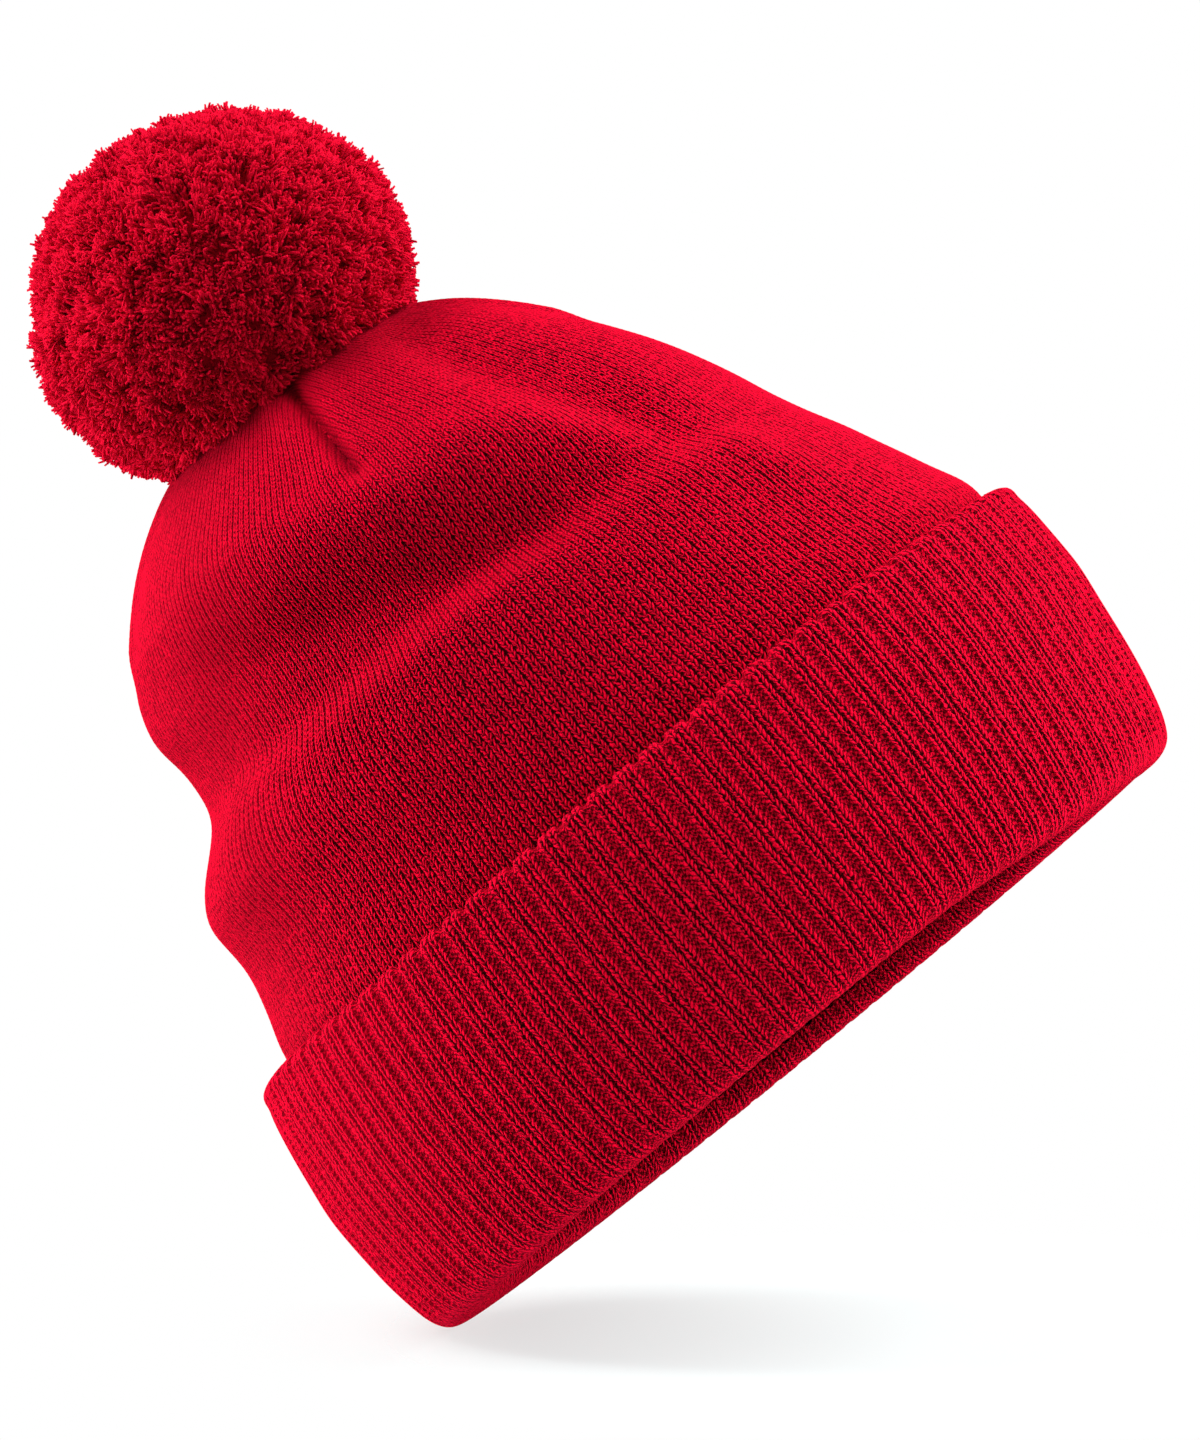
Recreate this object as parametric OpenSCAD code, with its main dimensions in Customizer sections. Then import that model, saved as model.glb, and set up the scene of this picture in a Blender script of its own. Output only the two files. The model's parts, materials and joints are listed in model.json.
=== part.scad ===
// Cuffed pom pom beanie: double layer knit crown, turned-up rib cuff and a tied yarn pom pom.
// Frame: millimetres, +Z up the crown, brim fold resting on Z = 0, left at -X, right at +X,
// back at +Y.

/* [Cuff] */
// Widest outside width of the turned-up cuff, side to side
cuff_w = 229; // [200:1:240]
// Widest outside depth of the turned-up cuff, front to back
cuff_d = 178; // [160:1:190]
// Height of the turned-up cuff
cuff_h = 70; // [60:1:76]
// Thickness of the visible rib layer of the cuff
face_t = 2.6; // [2:0.1:3]
// Thickness of the hidden rib layer of the cuff
back_t = 2.4; // [2:0.1:2.6]

/* [Crown] */
// Thickness of one layer of plain knit
knit_t = 2.0; // [1.5:0.1:2.2]
// Air between the outer knit layer and the lining
layer_gap = 1.8; // [1.6:0.1:2.2]
// Height of the crown's top above the brim fold
crown_top = 197.5; // [190:0.5:205]
// Radius of the gathered hole at the crown's top
eye_r = 3; // [2.6:0.1:4]
// How far each closing dart runs down the crown, as a count of stations from the top
dart_rows = 7; // [5:1:8]
// Radius of the sewing thread
thread_r = 0.35; // [0.25:0.05:0.4]

/* [Pom pom] */
// Outside diameter of the pom pom
pom_d = 94; // [80:1:96]
// Height of the pom pom's centre above the crown's top
pom_rise = 17.5; // [16:0.5:20]
// Radius of each strand of the tie cord
cord_r = 0.9; // [0.7:0.1:1]
// Diameter of the cord ring round the yarn bundle's waist
waist_d = 14; // [12:0.5:16]

/* [Label] */
// Width of the blank care label
label_w = 24; // [18:1:30]
// Length of the blank care label below its stitching
label_l = 34; // [25:1:40]

/* [Hidden] */

oval_facets = 48;
cord_facets = 6;
lining_depth = knit_t + layer_gap;               // crown's outside to the lining's outside
crown_under = crown_top - lining_depth - knit_t; // underside of the crown's top
pom_z = crown_top + pom_rise;
waist_r = waist_d / 2;
wrap_r = 1.1;                                    // radius of the cord round the waist

// ---- Outlines ----
// Each row is a station, an oval slice: [height, left half-width, right half-width, half-depth].
// The rows are drawn for these sizes and scaled to the driving ones.
drawn_w = 229;
drawn_d = 178;
drawn_cuff_h = 70;
drawn_crown_top = 197.5;
crown_base = 73; // the crown's height is scaled above this level only

// Outside of the standing brim band, hidden behind the cuff, upwards
brim_rows = [
    [7, 101.2, 99.4, 77.5], [22, 101.2, 101.2, 78.7],
    [42, 100.7, 103.9, 79.9], [65.3, 99.5, 107.2, 80.8]
];

// Outside of the crown knit, from behind the cuff to just below the eye; the top leans left
crown_rows = [
    [66, 99.5, 107.2, 80.8], [73, 98.7, 107.7, 80.9], [84, 95.3, 103.1, 79.3],
    [96, 92.9, 97.6, 77], [106, 93.4, 92.8, 74.6], [114, 89.2, 88.6, 72.2],
    [121, 81.4, 85.2, 69.9], [129, 76.2, 82.2, 67.6], [138, 75.3, 78.1, 65.3],
    [147, 76.3, 73.2, 63.3], [156, 74, 67.4, 60.6], [165, 68.7, 60.6, 56.4],
    [173, 61.9, 53.8, 51.2], [180, 54.2, 47, 45.4], [186, 46.4, 39, 38.8],
    [191, 37.4, 30.4, 31], [195, 24.8, 21, 20.8], [197, 11, 10.5, 10.2]
];

// Outside of the cuff: down its inside, round the flat-bottomed brim fold and up its face
cuff_rows = [
    [6, 96.4, 94.6, 72.7], [3, 96.8, 94.9, 73], [1, 98.2, 96, 74.2],
    [0, 101, 98.4, 76.6], [0, 106.2, 102.6, 80.2], [1.2, 109, 105.4, 82.8],
    [4.5, 111, 107.3, 84.4], [10, 112.2, 109.2, 85.8], [20, 113.2, 111.6, 87.4],
    [35, 113.7, 113.8, 88.7], [48, 112.5, 115.2, 89], [60, 110.8, 115, 88.6],
    [66, 109.3, 114.4, 88], [68.8, 107.7, 113.2, 86.8], [70, 105.8, 111.4, 85]
];

// Station at height z, with the row's widths and depth scaled to the cuff's size
function station(row, z) = let (across = cuff_w / drawn_w)
    [z, row[1] * across, row[2] * across, row[3] * cuff_d / drawn_d];
function crown_height(z) = z <= crown_base ? z
    : crown_base + (z - crown_base) * (crown_top - crown_base) / (drawn_crown_top - crown_base);

brim_path = [for (row = brim_rows) station(row, row[0])];
crown_path = [
    for (row = crown_rows) station(row, crown_height(row[0])),
    [crown_top, eye_r, eye_r, eye_r]
];
cuff_path = [for (row = cuff_rows) station(row, row[0] * cuff_h / drawn_cuff_h)];

// ---- Shared shapes ----
// Station i of a path, moved inwards by depth, square to the path
function inward(path, i, depth) =
    let (
        before = path[max(i - 1, 0)],
        after = path[min(i + 1, len(path) - 1)],
        widening = (after[1] + after[2] - before[1] - before[2]) / 2,
        climb = after[0] - before[0],
        span = sqrt(widening * widening + climb * climb),
        rise = depth * widening / span,
        inset = depth * climb / span,
        here = path[i]
    )
    [here[0] + rise, here[1] - inset, here[2] - inset, here[3] - inset];

function oval_point(station, angle) = [
    (cos(angle) >= 0 ? station[2] : station[1]) * cos(angle),
    station[3] * sin(angle),
    station[0]
];

// Ring-shaped solid whose cross-section is a closed loop of stations
module oval_ring(loop) {
    count = len(loop);
    points = [
        for (station = loop) for (k = [0 : oval_facets - 1])
            oval_point(station, 360 * k / oval_facets)
    ];
    faces = [
        for (i = [0 : count - 1]) for (k = [0 : oval_facets - 1])
            let (
                here = i * oval_facets,
                next = (i + 1) % count * oval_facets,
                q = (k + 1) % oval_facets
            )
            each [[here + k, next + k, next + q], [here + k, next + q, here + q]]
    ];
    polyhedron(points = points, faces = faces, convexity = 8);
}

// Shell lying depth under a path; trim drops that many stations at each end
module oval_shell(path, depth, thickness, trim = 0) {
    last = len(path) - 1 - trim;
    oval_ring([
        for (i = [trim : last]) inward(path, i, depth),
        for (i = [last : -1 : trim]) inward(path, i, depth + thickness)
    ]);
}

// Flat-ended cord along a list of points; side is any direction the path never runs along
module cord(path, radius, side) {
    function unit(v) = v / norm(v);
    count = len(path);
    points = [
        for (i = [0 : count - 1])
            let (
                along = unit(path[min(i + 1, count - 1)] - path[max(i - 1, 0)]),
                across = unit(cross(along, side)),
                up = cross(along, across)
            )
            for (k = [0 : cord_facets - 1])
                let (angle = 360 * k / cord_facets)
                path[i] + radius * (cos(angle) * across + sin(angle) * up)
    ];
    walls = [
        for (i = [0 : count - 2]) for (k = [0 : cord_facets - 1])
            let (here = i * cord_facets, next = here + cord_facets, q = (k + 1) % cord_facets)
            each [[here + k, here + q, next + q], [here + k, next + q, next + k]]
    ];
    first_end = [for (k = [cord_facets - 1 : -1 : 0]) k];
    last_end = [for (k = [0 : cord_facets - 1]) (count - 1) * cord_facets + k];
    polyhedron(points = points, faces = concat(walls, [first_end, last_end]), convexity = 4);
}

module torus(ring_r, wire_r) {
    rotate_extrude($fn = 48) translate([ring_r, 0]) circle(r = wire_r, $fn = 24);
}

// Two upright strands of tie cord, side by side
module cord_pair(bottom, top) {
    strand_x = cord_r + 0.05;
    for (side = [-1, 1])
        translate([side * strand_x, 0, bottom]) cylinder(r = cord_r, h = top - bottom, $fn = 24);
}

// ---- Crown and brim ----
brim_t = 2.2;
brim_lining_depth = 2.5;
thread_gap = 0.15; // between a dart thread and its knit layer

module crown_outer_layer() {
    color("crimson") oval_shell(crown_path, 0, knit_t);
}
module crown_lining_layer() {
    color("firebrick") oval_shell(crown_path, lining_depth, knit_t);
}
module brim_outer_band() {
    color("crimson") oval_shell(brim_path, 0, brim_t);
}
module brim_lining_band() {
    color("firebrick") oval_shell(brim_path, brim_lining_depth, brim_t);
}

// Thread lines that close the four darts, at a depth under the crown's outside
module dart_threads(depth) {
    last = len(crown_path) - 1;
    for (angle = [0 : 90 : 270])
        cord(
            [for (i = [last - dart_rows : last - 2])
                oval_point(inward(crown_path, i, depth), angle)],
            thread_r,
            side = [-sin(angle), cos(angle), 0]
        );
}
module dart_seams_outer() {
    color("darkred") dart_threads(knit_t + thread_gap + thread_r);
}
module dart_seams_lining() {
    color("darkred") dart_threads(lining_depth - thread_gap - thread_r);
}

// Drawn thread that gathers the crown, lying between the two layers
module crown_gather_thread() {
    color("darkred") translate([0, 0, crown_top - knit_t - layer_gap / 2])
        torus(ring_r = eye_r + 2, wire_r = 0.5);
}

// ---- Tie cord ----
// Knot that holds the tie cord under the lining
module tie_anchor_knot() {
    ring_r = 2.6;
    bulge_r = 2.5;
    middle_h = 3.8;
    color("darkred") translate([0, 0, crown_under - 4.2]) rotate_extrude($fn = 64) union() {
        translate([ring_r, 0]) circle(r = bulge_r, $fn = 48);
        translate([0, -middle_h / 2]) square([ring_r, middle_h]);
    }
}

// Two loose ends that spread as they hang below the knot
module tie_tail_ends() {
    start_z = crown_under - 8.6;
    start_x = 1.4;
    spread = 6;
    step_y = 0.7;
    step_z = 4;
    color("darkred") for (m = [-1, 1])
        cord(
            [for (i = [0 : 7])
                [m * (start_x + spread * sin(i * 14)), m * step_y * i, start_z - step_z * i]],
            cord_r,
            side = [0, 1, 0]
        );
}

// Strands through the crown's eye
module tie_stem() {
    color("darkred") cord_pair(bottom = crown_under - 0.6, top = crown_top + 0.4);
}
// Strands from above the eye to just under the waist wraps
module pom_tie_loop() {
    color("darkred") cord_pair(bottom = crown_top + 0.8, top = pom_z - waist_r - wrap_r - 0.3);
}

// ---- Label ----
label_z = 60; // top of the label
label_y = inward(brim_path, 2, brim_lining_depth + brim_t)[3] * 0.985 - 1.4;

// Blank ribbon loop inside the back of the brim, hanging from its stitched edge
module care_label() {
    ribbon_t = 0.25;
    ribbon_pitch = 0.4; // front face of one ply to front face of the other
    fold_h = 0.4;
    color("white") translate([-label_w / 2, label_y - 0.35, label_z - label_l]) union() {
        cube([label_w, ribbon_t, label_l]);
        translate([0, ribbon_pitch, 0]) cube([label_w, ribbon_t, label_l]);
        cube([label_w, ribbon_pitch + ribbon_t, fold_h]);
    }
}
module label_stitches() {
    stitch_l = 1.6;
    color("white") for (i = [-4 : 4])
        translate([i * label_w / 9 - stitch_l / 2, label_y, label_z + 1])
            rotate([0, 90, 0]) cylinder(r = 0.3, h = stitch_l, $fn = 24);
}

// ---- Cuff ----
cuff_layer_gap = 0.25;

module cuff_face_band() {
    color("crimson") oval_shell(cuff_path, 0, face_t);
}
module cuff_back_band() {
    color("firebrick") oval_shell(cuff_path, face_t + cuff_layer_gap, back_t, trim = 1);
}

// Linked edge that closes the two cuff layers along the top
module cuff_edge_seam() {
    edge = cuff_path[len(cuff_path) - 1];
    seam_r = 0.8;
    seam_rise = 1;
    seam_inset = 1.8;
    color("crimson") oval_ring([
        for (k = [0 : 5])
            let (inset = seam_inset + seam_r * cos(60 * k))
            [edge[0] + seam_rise + seam_r * sin(60 * k),
             edge[1] - inset, edge[2] - inset, edge[3] - inset]
    ]);
}

// ---- Pom pom ----
// Three wraps of cord round the yarn bundle's waist
module pom_binding_cord() {
    wrap_pitch = 2.3;
    color("darkred") translate([0, 0, pom_z]) for (i = [-1 : 1])
        translate([i * wrap_pitch, 0, 0]) rotate([0, 90, 0]) torus(waist_r, wrap_r);
}

// Yarn bundle along X, squeezed at its waist
module pom_core() {
    neck_r = waist_r - 1.2;
    end_r = 9.6;
    half_l = 10;
    // [radius, place along the bundle]
    profile = [
        [0, -half_l], [end_r, -half_l], [waist_r, -4.6], [neck_r, -3.4],
        [neck_r, 3.4], [waist_r, 4.6], [end_r, half_l], [0, half_l]
    ];
    color("darkred") translate([0, 0, pom_z]) rotate([0, 90, 0])
        rotate_extrude($fn = 48) polygon(profile);
}

// Ball of cut yarn, hollowed for the core and undercut so that it can lean on the crown
module pom_ball() {
    // [radius, height above the crown's top]
    undercut = [
        [0, -60], [0, 2], [4, 2.2], [10, 3.8], [18, 5],
        [31, 5.4], [40, 4], [52, 1.4], [60, -60]
    ];
    hollow_r = 14.6;
    cord_hole_r = 3.4;
    difference() {
        translate([0, 0, pom_z]) sphere(r = pom_d / 2, $fn = 96);
        translate([0, 0, crown_top]) rotate_extrude($fn = 96) polygon(undercut);
        translate([0, 0, pom_z]) sphere(r = hollow_r, $fn = 64);
        translate([0, 0, crown_top - 1]) cylinder(r = cord_hole_r, h = pom_rise, $fn = 48);
    }
}

half_reach = 60;  // the boxes that halve the ball reach this far from its axis
half_inset = 0.1; // and stop this far from its middle plane

// Part of the ball inside a box that starts at start_x
module pom_half(start_x) {
    intersection() {
        pom_ball();
        translate([start_x, -half_reach, crown_top])
            cube([half_reach - half_inset, 2 * half_reach, 2 * half_reach]);
    }
}
module pom_pile_left() {
    color("crimson") pom_half(-half_reach);
}
module pom_pile_right() {
    color("crimson") pom_half(half_inset);
}

crown_outer_layer();
crown_lining_layer();
brim_outer_band();
brim_lining_band();
dart_seams_outer();
dart_seams_lining();
crown_gather_thread();
tie_anchor_knot();
tie_tail_ends();
label_stitches();
care_label();
cuff_face_band();
cuff_back_band();
cuff_edge_seam();
tie_stem();
pom_tie_loop();
pom_binding_cord();
pom_core();
pom_pile_left();
pom_pile_right();
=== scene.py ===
"""Red knitted bobble hat: plain-knit crown with four darts, wide-rib cuff, yarn pom pom tied
on with a cord, and a blank ribbon label inside.

It stands upright with the cuff's lower edge at z = 0. The front faces -Y and the left, as seen
from the front, is -X. Lengths are in millimetres unless a comment says metres; meshes are
scaled to metres as they are made.
"""
import json
import math

import bpy
import numpy as np
from mathutils import Matrix, Vector

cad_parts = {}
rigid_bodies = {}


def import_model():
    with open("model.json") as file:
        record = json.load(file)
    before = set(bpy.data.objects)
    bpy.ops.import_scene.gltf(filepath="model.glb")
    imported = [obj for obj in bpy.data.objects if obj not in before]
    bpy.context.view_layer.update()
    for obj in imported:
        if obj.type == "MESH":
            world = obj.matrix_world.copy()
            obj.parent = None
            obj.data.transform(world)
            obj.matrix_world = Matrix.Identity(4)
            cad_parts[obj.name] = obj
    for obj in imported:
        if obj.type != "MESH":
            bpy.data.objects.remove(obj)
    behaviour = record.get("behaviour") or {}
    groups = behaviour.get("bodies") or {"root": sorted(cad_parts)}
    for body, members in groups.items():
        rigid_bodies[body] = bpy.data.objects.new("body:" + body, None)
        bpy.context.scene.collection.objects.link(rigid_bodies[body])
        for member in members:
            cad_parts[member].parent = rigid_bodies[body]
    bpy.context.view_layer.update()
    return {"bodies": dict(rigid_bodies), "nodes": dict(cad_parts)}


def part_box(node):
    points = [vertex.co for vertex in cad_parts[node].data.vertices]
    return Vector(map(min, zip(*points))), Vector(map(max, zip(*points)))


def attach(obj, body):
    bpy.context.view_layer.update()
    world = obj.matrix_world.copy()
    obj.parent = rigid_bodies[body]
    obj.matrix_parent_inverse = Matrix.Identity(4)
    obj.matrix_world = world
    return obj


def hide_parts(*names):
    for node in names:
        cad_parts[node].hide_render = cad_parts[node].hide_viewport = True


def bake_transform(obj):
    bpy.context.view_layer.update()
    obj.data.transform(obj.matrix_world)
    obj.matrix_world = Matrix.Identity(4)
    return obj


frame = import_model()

TURN = 2 * math.pi
MM = 0.001  # metres


# ---------------------------------------------------------------- driving sizes, from the frame
def box_mm(node):
    lo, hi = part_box(node)
    return np.array(lo[:]) * 1000, np.array(hi[:]) * 1000


cuff_lo, cuff_hi = box_mm("cuff_face_band")
pile_lo, pile_hi = box_mm("pom_pile_right")
TOP = box_mm("crown_outer_layer")[1][2]
CROWN_FOOT = 73.0  # crown heights are scaled above this level only

# the frame's sizes over those of the outline tables
WIDTH_K = (cuff_hi[0] - cuff_lo[0]) / 228.9
DEPTH_K = (cuff_hi[1] - cuff_lo[1]) / 178.0
CUFF_K = (cuff_hi[2] - cuff_lo[2]) / 70.0
CROWN_K = (TOP - CROWN_FOOT) / 124.5

POM_R = (pile_hi[1] - pile_lo[1]) / 2
POM_C = np.array([1.2, 0.0, pile_hi[2] - POM_R])

COURSE = 1.42  # height of a row of stitches
WALES = 240  # columns of stitches round the hat
QUARTER = WALES // 4
DART_Z = 164.0  # where the four darts start
CAP_Z = 187.0  # where the wales start to crowd together at the top
CROWN_SMOOTH = 2.6


def stations(rows, height):
    """Rows of [z, left, right, depth], scaled to the frame; height maps the z column."""
    table = np.array(rows)
    return np.column_stack([height(table[:, 0]), table[:, 1:] * [WIDTH_K, WIDTH_K, DEPTH_K]])


# Outlines from the start of the knit on. Columns: z, reach to the left, to the right, to the front.
BRIM = stations([
    (6.4, 101.2, 99.4, 77.5), (22, 101.2, 101.2, 78.7),
    (42, 100.7, 103.9, 79.9), (65.2, 99.5, 107.2, 80.8),
], lambda z: z)
CROWN = np.vstack([stations([
    (65.3, 99.5, 107.2, 80.8), (73, 98.7, 107.7, 80.9), (84, 95.3, 103.1, 79.3),
    (96, 92.9, 97.6, 77), (106, 93.4, 92.8, 74.6), (114, 89.2, 88.6, 72.2),
    (121, 81.4, 85.2, 69.9), (129, 76.2, 82.2, 67.6), (138, 75.3, 78.1, 65.3),
    (147, 76.3, 73.2, 63.3), (156, 74, 67.4, 60.6), (165, 68.7, 60.6, 56.4),
    (173, 61.9, 53.8, 51.2), (180, 54.2, 47, 45.4), (186, 46.4, 39, 38.8),
    (191, 37.4, 30.4, 31), (195, 24.8, 21, 20.8), (197, 11, 10.5, 10.2),
], lambda z: np.where(z < CROWN_FOOT, z, CROWN_FOOT + (z - CROWN_FOOT) * CROWN_K)),
    [TOP, 3, 3, 3]])
CUFF = stations([
    (6.2, 96.4, 94.6, 72.7), (3, 96.8, 94.9, 73), (1, 98.2, 96, 74.2), (0, 101, 98.4, 76.6),
    (0, 106.2, 102.6, 80.2), (1.2, 109, 105.4, 82.8), (4.5, 111, 107.3, 84.4),
    (10, 112.2, 109.2, 85.8), (20, 113.2, 111.6, 87.4), (35, 113.7, 113.8, 88.7),
    (48, 112.5, 115.2, 89), (60, 110.8, 115, 88.6), (66, 109.3, 114.4, 88),
    (68.8, 107.7, 113.2, 86.8), (70, 105.8, 111.4, 85),
], lambda z: z * CUFF_K)


# ---------------------------------------------------------------- small maths
def smooth(start, end, x):
    t = np.clip((x - start) / (end - start), 0, 1)
    return t * t * (3 - 2 * t)


def bell(x, width):
    return np.exp(-(x / width) ** 2)


def pchip(x, y, query):
    """Monotone cubic through the points x, y."""
    gap = np.diff(x)
    slope = np.diff(y) / gap
    tangent = np.zeros(len(x))
    tangent[0], tangent[-1] = slope[0], slope[-1]
    for i in range(1, len(x) - 1):
        if slope[i - 1] * slope[i] > 0:
            before, after = 2 * gap[i] + gap[i - 1], gap[i] + 2 * gap[i - 1]
            tangent[i] = (before + after) / (before / slope[i - 1] + after / slope[i])
    k = np.clip(np.searchsorted(x, query) - 1, 0, len(x) - 2)
    t = (query - x[k]) / gap[k]
    t2, t3 = t * t, t * t * t
    return ((2 * t3 - 3 * t2 + 1) * y[k] + (t3 - 2 * t2 + t) * gap[k] * tangent[k]
            + (3 * t2 - 2 * t3) * y[k + 1] + (t3 - t2) * gap[k] * tangent[k + 1])


def blur(y, sigma):
    if sigma <= 0:
        return y
    n = int(4 * sigma) + 1
    kernel = np.exp(-0.5 * (np.arange(-n, n + 1) / sigma) ** 2)
    kernel /= kernel.sum()
    # odd reflection at both ends keeps the end points where they are
    padded = np.concatenate([2 * y[0] - y[n:0:-1], y, 2 * y[-1] - y[-2:-n - 2:-1]])
    return np.convolve(padded, kernel, "valid")


def profile_length(rows):
    """Distance of each station along the mean profile."""
    radius = (rows[:, 1] + rows[:, 2]) / 2
    return np.concatenate([[0], np.cumsum(np.hypot(np.diff(radius), np.diff(rows[:, 0])))])


def resample(table, step, sigma=0.0):
    """Distances and stations every step along the profile, smoothed over sigma."""
    fine = 0.2
    length = profile_length(table)
    query = np.arange(0, length[-1] + 1e-9, fine)
    rows = np.stack([blur(pchip(length, table[:, i], query), sigma / fine) for i in range(4)], 1)
    length = profile_length(rows)
    count = max(int(round(length[-1] / step)), 2)
    along = np.linspace(0, length[-1], count + 1)
    return along, np.stack([np.interp(along, length, rows[:, i]) for i in range(4)], 1)


def inward(rows, depth):
    """Stations moved by depth square to their path, to the side away from the face."""
    grad = np.gradient(rows, axis=0)
    d_radius, d_z = (grad[:, 1] + grad[:, 2]) / 2, grad[:, 0]
    size = np.hypot(d_radius, d_z)
    out = rows.copy()
    out[:, 0] += depth * d_radius / size
    for i in (1, 2, 3):
        out[:, i] -= depth * d_z / size
    return out


def oval_points(rows, angles):
    """Points (rows, angles, 3) of the oval slices given by the stations."""
    cos, sin = np.cos(angles)[None], np.sin(angles)[None]
    width = rows[:, 1:2] + (rows[:, 2:3] - rows[:, 1:2]) * smooth(0, 1, (1 + cos) / 2)
    return np.stack([width * cos, rows[:, 3:4] * sin + 0 * cos, rows[:, 0:1] + 0 * cos], -1)


def unit(v):
    return v / np.maximum(np.linalg.norm(v, axis=-1, keepdims=True), 1e-12)


def flatten(vectors, dirs):
    """The part of vectors that is square to the unit vectors dirs."""
    return vectors - dirs * (vectors * dirs).sum(1, keepdims=True)


def normals(points, closed):
    across = np.roll(points, -1, 1) - np.roll(points, 1, 1)
    if closed:
        up = np.roll(points, -1, 0) - np.roll(points, 1, 0)
    else:
        up = np.gradient(points, axis=0)
    return unit(np.cross(across, up))


def even_angles(radius_x, radius_y, per_quarter, mix):
    """Column angles, as many in each quarter: mix 1 is even along the oval, 0 even in angle."""
    t = np.linspace(0, math.pi / 2, 2001)
    arc = np.hypot(np.diff(radius_x * np.cos(t)), np.diff(radius_y * np.sin(t)))
    arc = np.concatenate([[0], np.cumsum(arc)])
    arc = mix * arc / arc[-1] + (1 - mix) * t / t[-1]
    q = np.interp(np.linspace(0, 1, per_quarter + 1), arc, t)
    return np.concatenate([q[:-1], math.pi - q[:0:-1], math.pi + q[:-1], TURN - q[:0:-1]])


def value_noise(points, scale, seed):
    """Smooth repeatable noise in -1..1 at points, with features about scale across."""
    q = points / scale
    i = np.floor(q).astype(np.int64)
    f = q - i
    f = f * f * (3 - 2 * f)
    out = 0
    for dx in (0, 1):
        for dy in (0, 1):
            for dz in (0, 1):
                h = ((i[..., 0] + dx) * 374761393 + (i[..., 1] + dy) * 668265263
                     + (i[..., 2] + dz) * 2147483647 + seed * 1274126177)
                h = (h ^ (h >> 13)) * 1274126177
                value = ((h ^ (h >> 16)) & 0xFFFF) / 32767.5 - 1
                weight = ((f[..., 0] if dx else 1 - f[..., 0])
                          * (f[..., 1] if dy else 1 - f[..., 1])
                          * (f[..., 2] if dz else 1 - f[..., 2]))
                out = out + value * weight
    return out


# ---------------------------------------------------------------- knit relief
# Heights are 0 in the gaps and 1 on the yarn. The knit coordinates count wales and courses.
SLANT = 0.9  # courses that a stitch leg climbs per wale
RIB_WALES = 3  # two knit wales and one purl wale
RIB_HALF = 0.57  # middle of a knit wale, from the middle of the rib


def grains(side, course, mid, lean, wide, tall):
    """Slanting grains of yarn stacked along a wale, each overlapping the next: stitch legs."""
    v = course - SLANT * side
    v = v - np.floor(v) - 0.5
    best = 0
    for k in (0, -np.sign(v)):
        vv = v + k
        best = np.maximum(best, 1 - ((side - mid - lean * vv) / wide) ** 2 - (vv / tall) ** 2)
    return np.sqrt(best)


def plain_relief(wale, course):
    """Plain knit: every wale is a column of V stitches."""
    side = np.abs(wale - np.floor(wale) - 0.5)
    return grains(side, course, mid=0.215, lean=0.17, wide=0.24, tall=0.95)


def rib_relief(wale, course):
    """Wide rib: two knit wales side by side, then one sunk purl wale."""
    place = wale - RIB_WALES * np.floor(wale / RIB_WALES)
    x = np.abs(place - 1.5) - RIB_HALF
    knit = 1 - smooth(0.40, 0.66, x)
    gap = 1 - 0.32 * bell(x + RIB_HALF, 0.15)
    cord = grains(np.abs(x), course, mid=0.25, lean=0.08, wide=0.23, tall=1.1)
    return 0.36 + knit * gap * (0.34 + 0.30 * cord)


# ---------------------------------------------------------------- meshes
def raw_mesh(name, verts, loops, sizes):
    """Smooth mesh from vertices in mm, the loops' vertices and the faces' loop counts."""
    mesh = bpy.data.meshes.new(name)
    starts = np.concatenate([[0], np.cumsum(sizes)[:-1]]).astype(np.int32)
    mesh.vertices.add(len(verts))
    mesh.vertices.foreach_set("co", (verts * MM).astype(np.float32).ravel())
    mesh.loops.add(len(loops))
    mesh.loops.foreach_set("vertex_index", loops)
    mesh.polygons.add(len(sizes))
    mesh.polygons.foreach_set("loop_start", starts)
    mesh.polygons.foreach_set("use_smooth", np.ones(len(sizes), bool))
    mesh.update(calc_edges=True)
    return mesh


def add_object(name, data):
    ob = bpy.data.objects.new(name, data)
    bpy.context.scene.collection.objects.link(ob)
    return ob


def make_mesh(name, verts, quads, ngons, uvs, mat, loop_normals=None):
    """uvs: {layer: (loops of quads, 2)}; the loops of ngons get a corner of the map."""
    loops = np.concatenate([quads.ravel()] + [np.asarray(g) for g in ngons]).astype(np.int32)
    sizes = np.concatenate([np.full(len(quads), 4), [len(g) for g in ngons]]).astype(np.int32)
    mesh = raw_mesh(name, verts, loops, sizes)
    for layer_name, uv in uvs.items():
        layer = mesh.uv_layers.new(name=layer_name)
        full = np.full((len(loops), 2), 0.997, np.float32)
        full[: len(uv)] = uv
        layer.data.foreach_set("uv", full.ravel())
    mesh.uv_layers.active = mesh.uv_layers[0]
    if loop_normals is not None:
        full = np.zeros((len(loops), 3), np.float32)
        full[: len(loop_normals)] = loop_normals
        mesh.normals_split_custom_set(full)
    ob = add_object(name, mesh)
    ob.data.materials.append(mat)
    return ob


def quad_corners(value, i, j, i2, j2):
    """value(row, column) at the four corners of each quad of a grid."""
    return np.stack([value(i, j), value(i, j2), value(i2, j2), value(i2, j)], 2)


def pair(u, v):
    return np.stack([u, v], -1)


def place_piece(ob, body, slot, *nodes):
    """Puts the piece on its body and hides the frame's parts that it stands for. The slot is not
    used.
    """
    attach(ob, body)
    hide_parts(*nodes)


def join_quarters(values):
    """(4, rows, n + 1) values of the quarters as one (rows, 4n) sheet round the hat."""
    return np.concatenate([quarter[:, :-1] for quarter in values], 1)


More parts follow.
